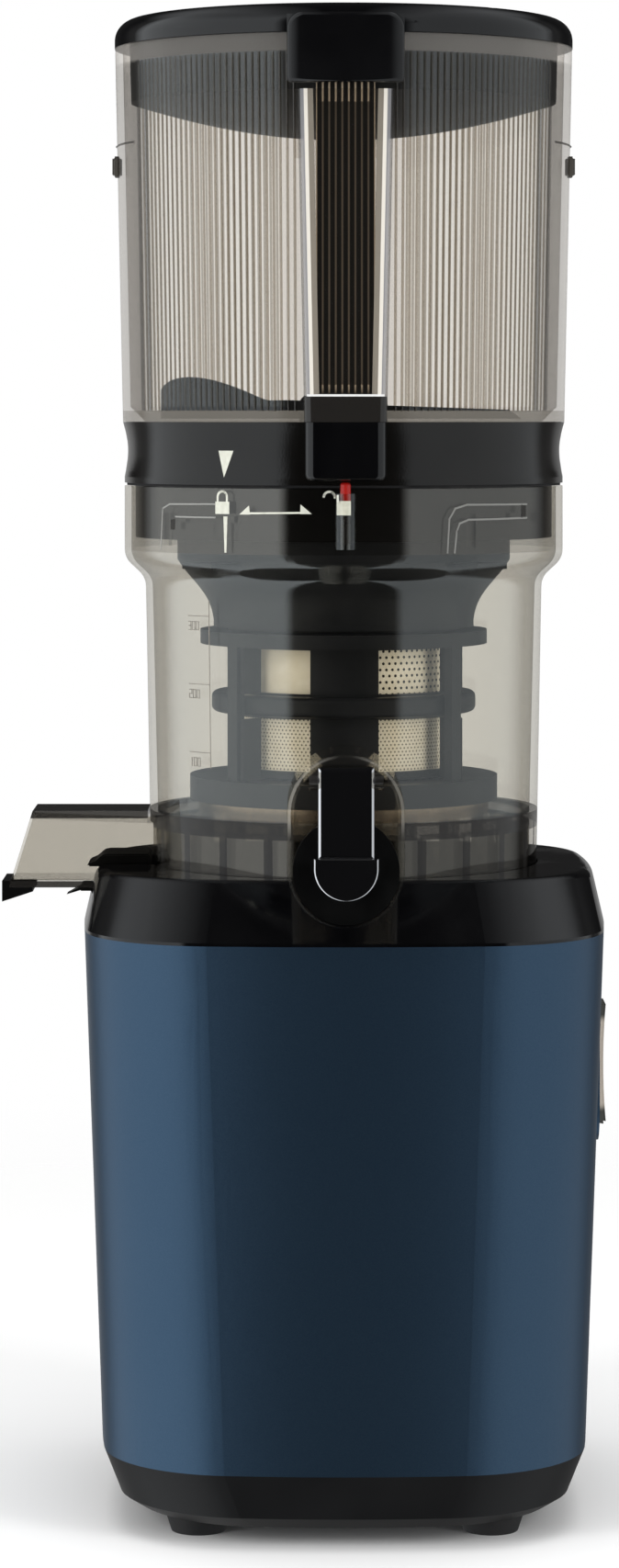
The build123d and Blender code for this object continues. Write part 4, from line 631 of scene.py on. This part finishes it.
# ---------------------------------------------------------------- fill scale
# A pale grey scale, pad printed up the bowl's left side: a line with a plain number at each of
# three levels, and an upright that joins them.
digits = {
    "0": [(0, 0), (1, 0), (1, 2), (0, 2), (0, 0)],
    "1": [(0.7, 0), (0.7, 2)],
    "2": [(0, 2), (1, 2), (1, 1), (0, 1), (0, 0), (1, 0)],
    "3": [(0, 2), (1, 2), (1, 1), (0.2, 1), (1, 1), (1, 0), (0, 0)],
}
pale_ink = new_finish("grey_pad_print")
pale_tone = pale_ink.noise(500, 3)
grey_ink = pale_ink.show(pale_ink.coat(
    Base_Color=pale_tone.ramp((0.3, shade(120, 116, 108)), (0.7, shade(142, 137, 128))),
    Roughness=0.5 + pale_tone * 0.2))
body_radius = 0.0665
body_skin = wrapped_on("juicing_bowl", body_radius)
scale_left, scale_right, scale_line = -58.5, -48.5, 0.28
digit_left, digit_drop, digit_line = -58.4, 4.6, 0.26
digit_pitch, digit_width, digit_height = 1.9, 1.2, 1.35
scale_marks = []
for level, number in ((255, "100"), (277.5, "200"), (300, "300")):
    scale_marks += stroke(scale_line, (scale_left, level), (scale_right, level))
    for place, digit in enumerate(number):
        left = digit_left + place * digit_pitch
        lines = [(left + u * digit_width, level - digit_drop + v * digit_height)
                 for u, v in digits[digit]]
        scale_marks += stroke(digit_line, *lines)
scale_marks += stroke(scale_line, (scale_right, 250), (scale_right, 305))
print_mark("fill_scale", scale_marks, body_skin, grey_ink, "bowl")

# ---------------------------------------------------------------- seals of the bowl
# The spout's plug, the lip of the chute and the chute's own plug, each moulded in black silicone
# and pushed into its place.
silicone = new_finish("black_silicone")
silicone_tone = silicone.noise(70, 3)
silicone_black = silicone.show(silicone.coat(
    Base_Color=silicone_tone.ramp((0.3, shade(3, 3, 3)), (0.8, shade(9, 9, 9))),
    Roughness=0.28 + silicone_tone * 0.2, IOR=1.36))
dress(silicone_black, "cap_plug", "chute_lip", "pulp_plug")

# ---------------------------------------------------------------- strainer, wiper and funnel
# Glass-filled black resin with a satin skin round an etched steel sleeve. The sleeve's holes are
# fine and close below, coarse in two of the upper windows, and it is plain in the other two.
resin = new_finish("filled_black_resin")
resin_tone = resin.noise(45, 4)
satin_black = resin.show(resin.coat(
    Base_Color=resin_tone.ramp((0.3, shade(17, 18, 19)), (0.8, shade(30, 31, 33))),
    Roughness=0.3 + resin_tone * 0.2,
    Normal=resin.bump(resin_tone, 0.00004)))
dress(satin_black, "strainer_frame", "funnel", "wiper_frame", "idler_gear", "feed_wing",
      "lid_dish", "juicing_screw")

etched = new_finish("etched_steel")
sleeve_low, sleeve_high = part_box("strainer_mesh")
sleeve_radius = (sleeve_high.x - sleeve_low.x) / 2
lower_window_height, belt_height = 0.0174, 0.0084
belt_low = sleeve_low.z + lower_window_height
belt_high = belt_low + belt_height
from_axis_x = etched.place("X") - axis_x
from_axis_y = etched.place("Y") - axis_y
round_sleeve = etched.add("ShaderNodeMath", {"operation": "ARCTAN2"},
                          [from_axis_x, from_axis_y * -1]) * sleeve_radius
up_sleeve = etched.place("Z") - sleeve_low.z


def etched_holes(across_pitch, row_pitch, hole):
    """Staggered round holes, 1 inside a hole and 0 between."""
    row = etched.add("ShaderNodeMath", {"operation": "FLOOR"}, [up_sleeve / row_pitch])
    shifted = round_sleeve + (row % 2) * (across_pitch / 2)
    across = (shifted % across_pitch) - across_pitch / 2
    up = (up_sleeve % row_pitch) - row_pitch / 2
    away = (across * across + up * up) ** 0.5
    return 1 - away.rise(hole * 0.85, hole * 1.15)


below_belt = etched.place("Z") < belt_low
above_belt = etched.place("Z") > belt_high
coarse_side = (from_axis_x * from_axis_y) < 0
fine_holes = etched_holes(across_pitch=0.00145, row_pitch=0.00118, hole=0.00027) * below_belt
coarse_holes = etched_holes(across_pitch=0.0022, row_pitch=0.00205, hole=0.00047)
coarse_holes = coarse_holes * above_belt * coarse_side
holes = fine_holes | coarse_holes
etched_tone = etched.noise(240, 4)
sheet_colour = etched_tone.ramp((0.3, shade(240, 230, 204)), (0.7, shade(250, 242, 220)))
etched_steel = etched.show(etched.coat(
    Base_Color=etched.blend(holes, sheet_colour, shade(16, 15, 14)),
    Metallic=0.15 - holes * 0.15, Roughness=0.42 + etched_tone * 0.15,
    Normal=etched.bump(1 - holes, 0.0001)))
dress(etched_steel, "strainer_mesh")

# ---------------------------------------------------------------- drive shaft and spring
# The shaft is ground from stainless steel, with the fine rings that turning leaves round it. The
# rod's spring is coiled from wire of the same steel.
turned = new_finish("turned_steel")
rings = turned.add("ShaderNodeTexNoise", inputs={
    "Vector": turned.add("ShaderNodeMapping", inputs={"Vector": turned.place(),
                                                      "Scale": (0.05, 0.05, 1)}),
    "Scale": 2400.0, "Detail": 3.0})
turned_steel = turned.show(turned.coat(
    Base_Color=rings.ramp((0.3, shade(168, 168, 172)), (0.7, shade(205, 205, 208))),
    Metallic=1.0, Roughness=0.2 + rings * 0.2))
dress(turned_steel, "drive_shaft", "rod_spring")

# ---------------------------------------------------------------- lock pin
# A pin of dark acetal, which slides in its clear guide on the bowl's rim. Its tip is signal red,
# so that the lock's state shows.
pin_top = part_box("lock_pin")[1].z
tip_start, tip_full = 0.0064, 0.006
acetal = new_finish("acetal_pin")
red_tip = acetal.place("Z").rise(pin_top - tip_start, pin_top - tip_full)
signal_red = acetal.show(acetal.coat(
    Base_Color=acetal.blend(red_tip, shade(24, 22, 21), shade(150, 20, 14)),
    Roughness=0.2 + acetal.noise(300) * 0.15))
dress(signal_red, "lock_pin")

# ---------------------------------------------------------------- ring under the hopper
# A waisted ring, moulded in warm black resin and fixed round the hopper's foot. The lock's
# pointer is printed on it as a white triangle.
ring_resin = new_finish("warm_black_resin")
ring_tone = ring_resin.noise(40, 3)
ring_black = ring_resin.show(ring_resin.coat(
    Base_Color=ring_tone.ramp((0.3, shade(8, 7, 6)), (0.8, shade(15, 14, 12))),
    Roughness=0.1 + ring_tone * 0.08,
    Normal=ring_resin.bump(ring_resin.noise(1500, 2), 0.00002)))
dress(ring_black, "hopper_ring")
waist_radius = 0.0737
pointer = [[(-44.1, 354.6), (-41.3, 345.9), (-38.3, 354.6)]]
print_mark("lock_pointer", pointer, wrapped_on("hopper_ring", waist_radius), white_ink, "hopper")

# ---------------------------------------------------------------- hopper
# Smoke-tinted copolyester again, with fine upright ribs moulded round its front and back. Its
# sides are smooth and thick. The two rails of its front channel carry painted highlights and
# painted shade, and a painted highlight lines the channel above its dark pocket.
hopper_base, hopper_rim = 0.364, 0.488
hopper_foot_radius, hopper_rim_radius = 0.075, 0.0776
channel_half, channel_slope = 0.0133, 0.0206
channel_face, channel_bed = 0.0772, 0.071
rail_edge, rail_grey, rail_white, rail_warm = 0.0008, 0.0020, 0.0032, 0.0050
side_start, side_slope = 0.0669, 0.0153
hopper_foot_top, pocket_top, lip_top, rim_band = 0.3677, 0.3722, 0.3729, 0.4842
grey_smoke = (0.20, 0.195, 0.185)


def channel_reach(smoke):
    """How far a point lies inside the channel's outer wall; it narrows towards its foot."""
    across = abs(smoke.place("X") - axis_x)
    return channel_half - across + (smoke.place("Z") - hopper_base) * channel_slope


def hopper_zones(smoke):
    """Each rail runs from a dark edge and grey band of painted shade, over a white band of painted
    highlight, to warm; the bed lies between them. The line above the pocket is a painted highlight.
    """
    forward = axis_y - smoke.place("Y")
    across = abs(smoke.place("X") - axis_x)
    up = smoke.place("Z")
    inward = channel_reach(smoke)
    raised = (forward > channel_face) * (inward > -0.001)
    beyond = across - (up - hopper_base) * side_slope - side_start
    below_band = up < rim_band
    foot = up < hopper_foot_top
    pocket = (forward > channel_bed) * (inward > 0) * (up < pocket_top)
    lip = (forward > channel_bed) * (inward > 0.001) * (up > pocket_top) * (up < lip_top)
    return (((beyond > 0) * below_band, 0.27, grey_smoke, 1.0),
            ((abs(beyond) < 0.0006) * below_band, 0.5, deep_smoke, 0.0),
            (up > rim_band, 0.10, (0.5, 0.48, 0.45), 0.0),
            (foot, 0.5, (0.19, 0.175, 0.15), 0.0),
            # The rails' dark edge and grey band are painted shade, and their white band is a
            # painted highlight.
            (raised * (inward < rail_edge), 0.6, deep_smoke, 0.0),
            (raised * (inward > rail_edge) * (inward < rail_grey), 0.75, (0.21, 0.21, 0.22), 0.0),
            (raised * (inward > rail_grey) * (inward < rail_white), 0.85, (0.66, 0.63, 0.57), 0.0),
            (raised * (inward > rail_white) * (inward < rail_warm), 0.7, (0.20, 0.18, 0.15), 0.0),
            (raised * (inward > rail_warm), 0.12, deep_smoke, 0.0),
            (pocket, 0.96, deep_smoke, 0.0),
            # The bright line above the pocket is a painted highlight.
            (lip, 0.8, (0.7, 0.7, 0.7), 0.0))


smoke_hopper = smoke_plastic("smoke_hopper", (0.965, 0.95, 0.93), 0.08, smoke_body,
                             zones=hopper_zones)
dress_clear(smoke_hopper, "hopper")

smoke_rib = smoke_plastic("smoke_rib", (0.52, 0.48, 0.42), 0.08, (0.80, 0.78, 0.75), 0.15)
rib_count = 204
rib_half_width, rib_height, crest_share = 0.00048, 0.0003, 0.35
rib_low, rib_high, rib_run_out, rib_sink = 0.3675, 0.4840, 0.002, 0.00002
channel_turn, hinge_turn, side_from, side_to = 11.5, 16, 63.5, 116.5
hopper_draft = (hopper_rim_radius - hopper_foot_radius) / (hopper_rim - hopper_base)


def hopper_radius(level):
    """How far the hopper's wall stands from its axis; it opens out towards the rim."""
    return hopper_foot_radius + (level - hopper_base) * hopper_draft


rib_form = bmesh.new()
for count in range(rib_count):
    turn = 360 / rib_count * count
    behind_channel = min(turn, 360 - turn) < channel_turn
    behind_hinge = abs(turn - 180) < hinge_turn
    at_side = side_from < turn % 180 < side_to
    if behind_channel or behind_hinge or at_side:
        continue
    outwards = Vector((math.sin(math.radians(turn)), -math.cos(math.radians(turn)), 0))
    along = Vector((-outwards.y, outwards.x, 0))
    lines = []
    for level in (rib_low, rib_low + rib_run_out, rib_high - rib_run_out, rib_high):
        end = level in (rib_low, rib_high)
        centre = Vector((axis_x, axis_y, level)) + outwards * (hopper_radius(level) - rib_sink)
        crest = outwards * (0 if end else rib_height)
        lines.append([rib_form.verts.new(centre - along * rib_half_width),
                      rib_form.verts.new(centre + crest - along * rib_half_width * crest_share),
                      rib_form.verts.new(centre + crest + along * rib_half_width * crest_share),
                      rib_form.verts.new(centre + along * rib_half_width)])
    for line, next_line in zip(lines, lines[1:]):
        for side in range(3):
            face = rib_form.faces.new((line[side], line[side + 1], next_line[side + 1],
                                       next_line[side]))
            face.smooth = True
finish_piece("hopper_ribs", rib_form, smoke_rib, "hopper")

# ---------------------------------------------------------------- stops of the hopper
# A short parting line and a small moulded stop stand at each side of the hopper, where its mould
# opened.
stop_size, stop_level = (0.003, 0.009, 0.007), 0.4505
stop_reach = hopper_radius(stop_level) + 0.0002
line_level, line_half, line_proud = 0.4572, 0.00035, 0.0005
line_turn, line_steps = 25, 24
for side, side_name in ((-1, "left"), (1, "right")):
    stop_form = bmesh.new()
    bmesh.ops.create_cube(stop_form, size=1)
    bmesh.ops.scale(stop_form, vec=stop_size, verts=stop_form.verts)
    bmesh.ops.bevel(stop_form, geom=stop_form.edges[:], offset=0.0008, segments=3, affect="EDGES")
    bmesh.ops.translate(stop_form, vec=(axis_x + side * stop_reach, axis_y, stop_level),
                        verts=stop_form.verts)
    finish_piece("stop_" + side_name, stop_form, dark_smoke, "hopper")

    line_form = bmesh.new()
    rows = []
    for step in range(line_steps + 1):
        turn = math.radians(side * (90 - step * line_turn / line_steps))
        outwards = Vector((math.sin(turn), -math.cos(turn), 0))
        centre = Vector((axis_x, axis_y, line_level)) + outwards * hopper_radius(line_level)
        rows.append([line_form.verts.new(centre - Vector((0, 0, line_half))),
                     line_form.verts.new(centre + outwards * line_proud),
                     line_form.verts.new(centre + Vector((0, 0, line_half)))])
    for row, next_row in zip(rows, rows[1:]):
        for side_face in range(2):
            line_form.faces.new((row[side_face], next_row[side_face], next_row[side_face + 1],
                                 row[side_face + 1]))
    finish_piece("parting_line_" + side_name, line_form, dark_smoke, "hopper")

# ---------------------------------------------------------------- safety rod
# A fluted rod of black acetal, which slides in the hopper's channel. The floors of its flutes
# carry painted light: they are painted paler than the crests between them.
rod_low, rod_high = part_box("safety_rod")
rod_resin = new_finish("fluted_acetal")
rod_pitch, flute_phase = 0.0021, 4.5
pale_from, pale_to, bare_foot = 0.0006, 0.00095, 0.004
from_rod_middle = rod_resin.place("X") - (rod_low.x + rod_high.x) / 2 + rod_pitch * flute_phase
in_pitch = abs((from_rod_middle % rod_pitch) - rod_pitch / 2)
above_foot = rod_resin.place("Z").rise(rod_low.z, rod_low.z + bare_foot)
# Painted light: the floors of the flutes are painted pale, above a bare dark foot.
painted_flute_light = in_pitch.rise(pale_from, pale_to) * above_foot
fluted_black = rod_resin.show(rod_resin.coat(
    Base_Color=rod_resin.blend(painted_flute_light, shade(14, 12, 10), shade(146, 132, 112)),
    Roughness=0.3 + rod_resin.noise(200, 3) * 0.2))
dress(fluted_black, "safety_rod")

# ---------------------------------------------------------------- latch of the lid
# Moulded in the same polished black as the cover, with a face that is crowned from side to side.
# It hangs on a pin at the lid's front.
latch_gloss = new_finish("crowned_latch")
latch_crown = 8.7
latch_low, latch_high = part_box("lid_latch")
from_latch_middle = latch_gloss.place("X") - (latch_low.x + latch_high.x) / 2
crowned_latch = latch_gloss.show(latch_gloss.coat(
    Base_Color=latch_gloss.noise(60, 3).ramp((0.3, shade(7, 7, 8)), (0.8, shade(13, 13, 14))),
    Roughness=0.06 + latch_gloss.noise(40).rise(0.5, 0.9) * 0.1,
    Normal=latch_gloss.bump(from_latch_middle ** 2 * -latch_crown, 1.0)))
dress(crowned_latch, "lid_latch")

# ---------------------------------------------------------------- lever of the spout's cap
# A moulding in polished black like the cover. A painted highlight, a bright mirror line, runs
# along its bevelled edges.
# It carries the spout's plug and turns on a pin.
lever_low, lever_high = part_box("cap_lever")
lever = new_finish("lever_with_painted_highlight")
head_height = 0.0285
lever_shoulder = lever_high.z - head_height
head_half, foot_half = 0.00875, (lever_high.x - lever_low.x) / 2
head_line, shoulder_line, foot_line, round_line = 0.0007, 0.0004, 0.0006, 0.0005
lever_across = abs(lever.place("X") - axis_x)
lever_up = lever.place("Z")
above = lever_up > lever_shoulder
below_shoulder = 1 - above
round_centre = lever_low.z + foot_half
from_round = ((lever_up - round_centre) ** 2 + lever_across * lever_across) ** 0.5
# The bright lines along the bevels are a painted highlight: white and mirror-bright.
painted_highlight = above * (lever_across > head_half - head_line)
on_shoulder = abs(lever_up - lever_shoulder) < shoulder_line
painted_highlight = painted_highlight | on_shoulder * (lever_across < head_half)
painted_highlight = painted_highlight | below_shoulder * (lever_across > foot_half - foot_line)
painted_highlight = painted_highlight | (lever_up < round_centre) * (from_round > foot_half - round_line)
lever_streaks = lever.noise(60, 3)
lever_with_painted_highlight = lever.show(lever.coat(
    Base_Color=lever.blend(painted_highlight, shade(9, 9, 10), shade(236, 236, 238)),
    Metallic=painted_highlight,
    Roughness=0.06 + lever_streaks.rise(0.45, 0.8) * 0.1))
dress(lever_with_painted_highlight, "cap_lever")

# ---------------------------------------------------------------- flap in the pulp chute
# A black silicone wedge inside the chute, at the bowl's wall, holds the pulp back so that it
# leaves pressed.
flap_form = bmesh.new()
flap_profile = [(-0.0866, 0.2146), (-0.0848, 0.2150), (-0.0833, 0.2160), (-0.0820, 0.2174),
                (-0.0806, 0.2180), (-0.0655, 0.2180), (-0.0655, 0.2136), (-0.0866, 0.2138)]
flap_half = 0.0112
flap_sides = []
for side in (-flap_half, flap_half):
    flap_sides.append([flap_form.verts.new((axis_x + x, axis_y + side, z))
                       for x, z in flap_profile])
close_slab(flap_form, *flap_sides)
bmesh.ops.bevel(flap_form, geom=flap_form.edges[:], offset=0.0005, segments=2, affect="EDGES")
finish_piece("pulp_flap", flap_form, silicone_black, "bowl")
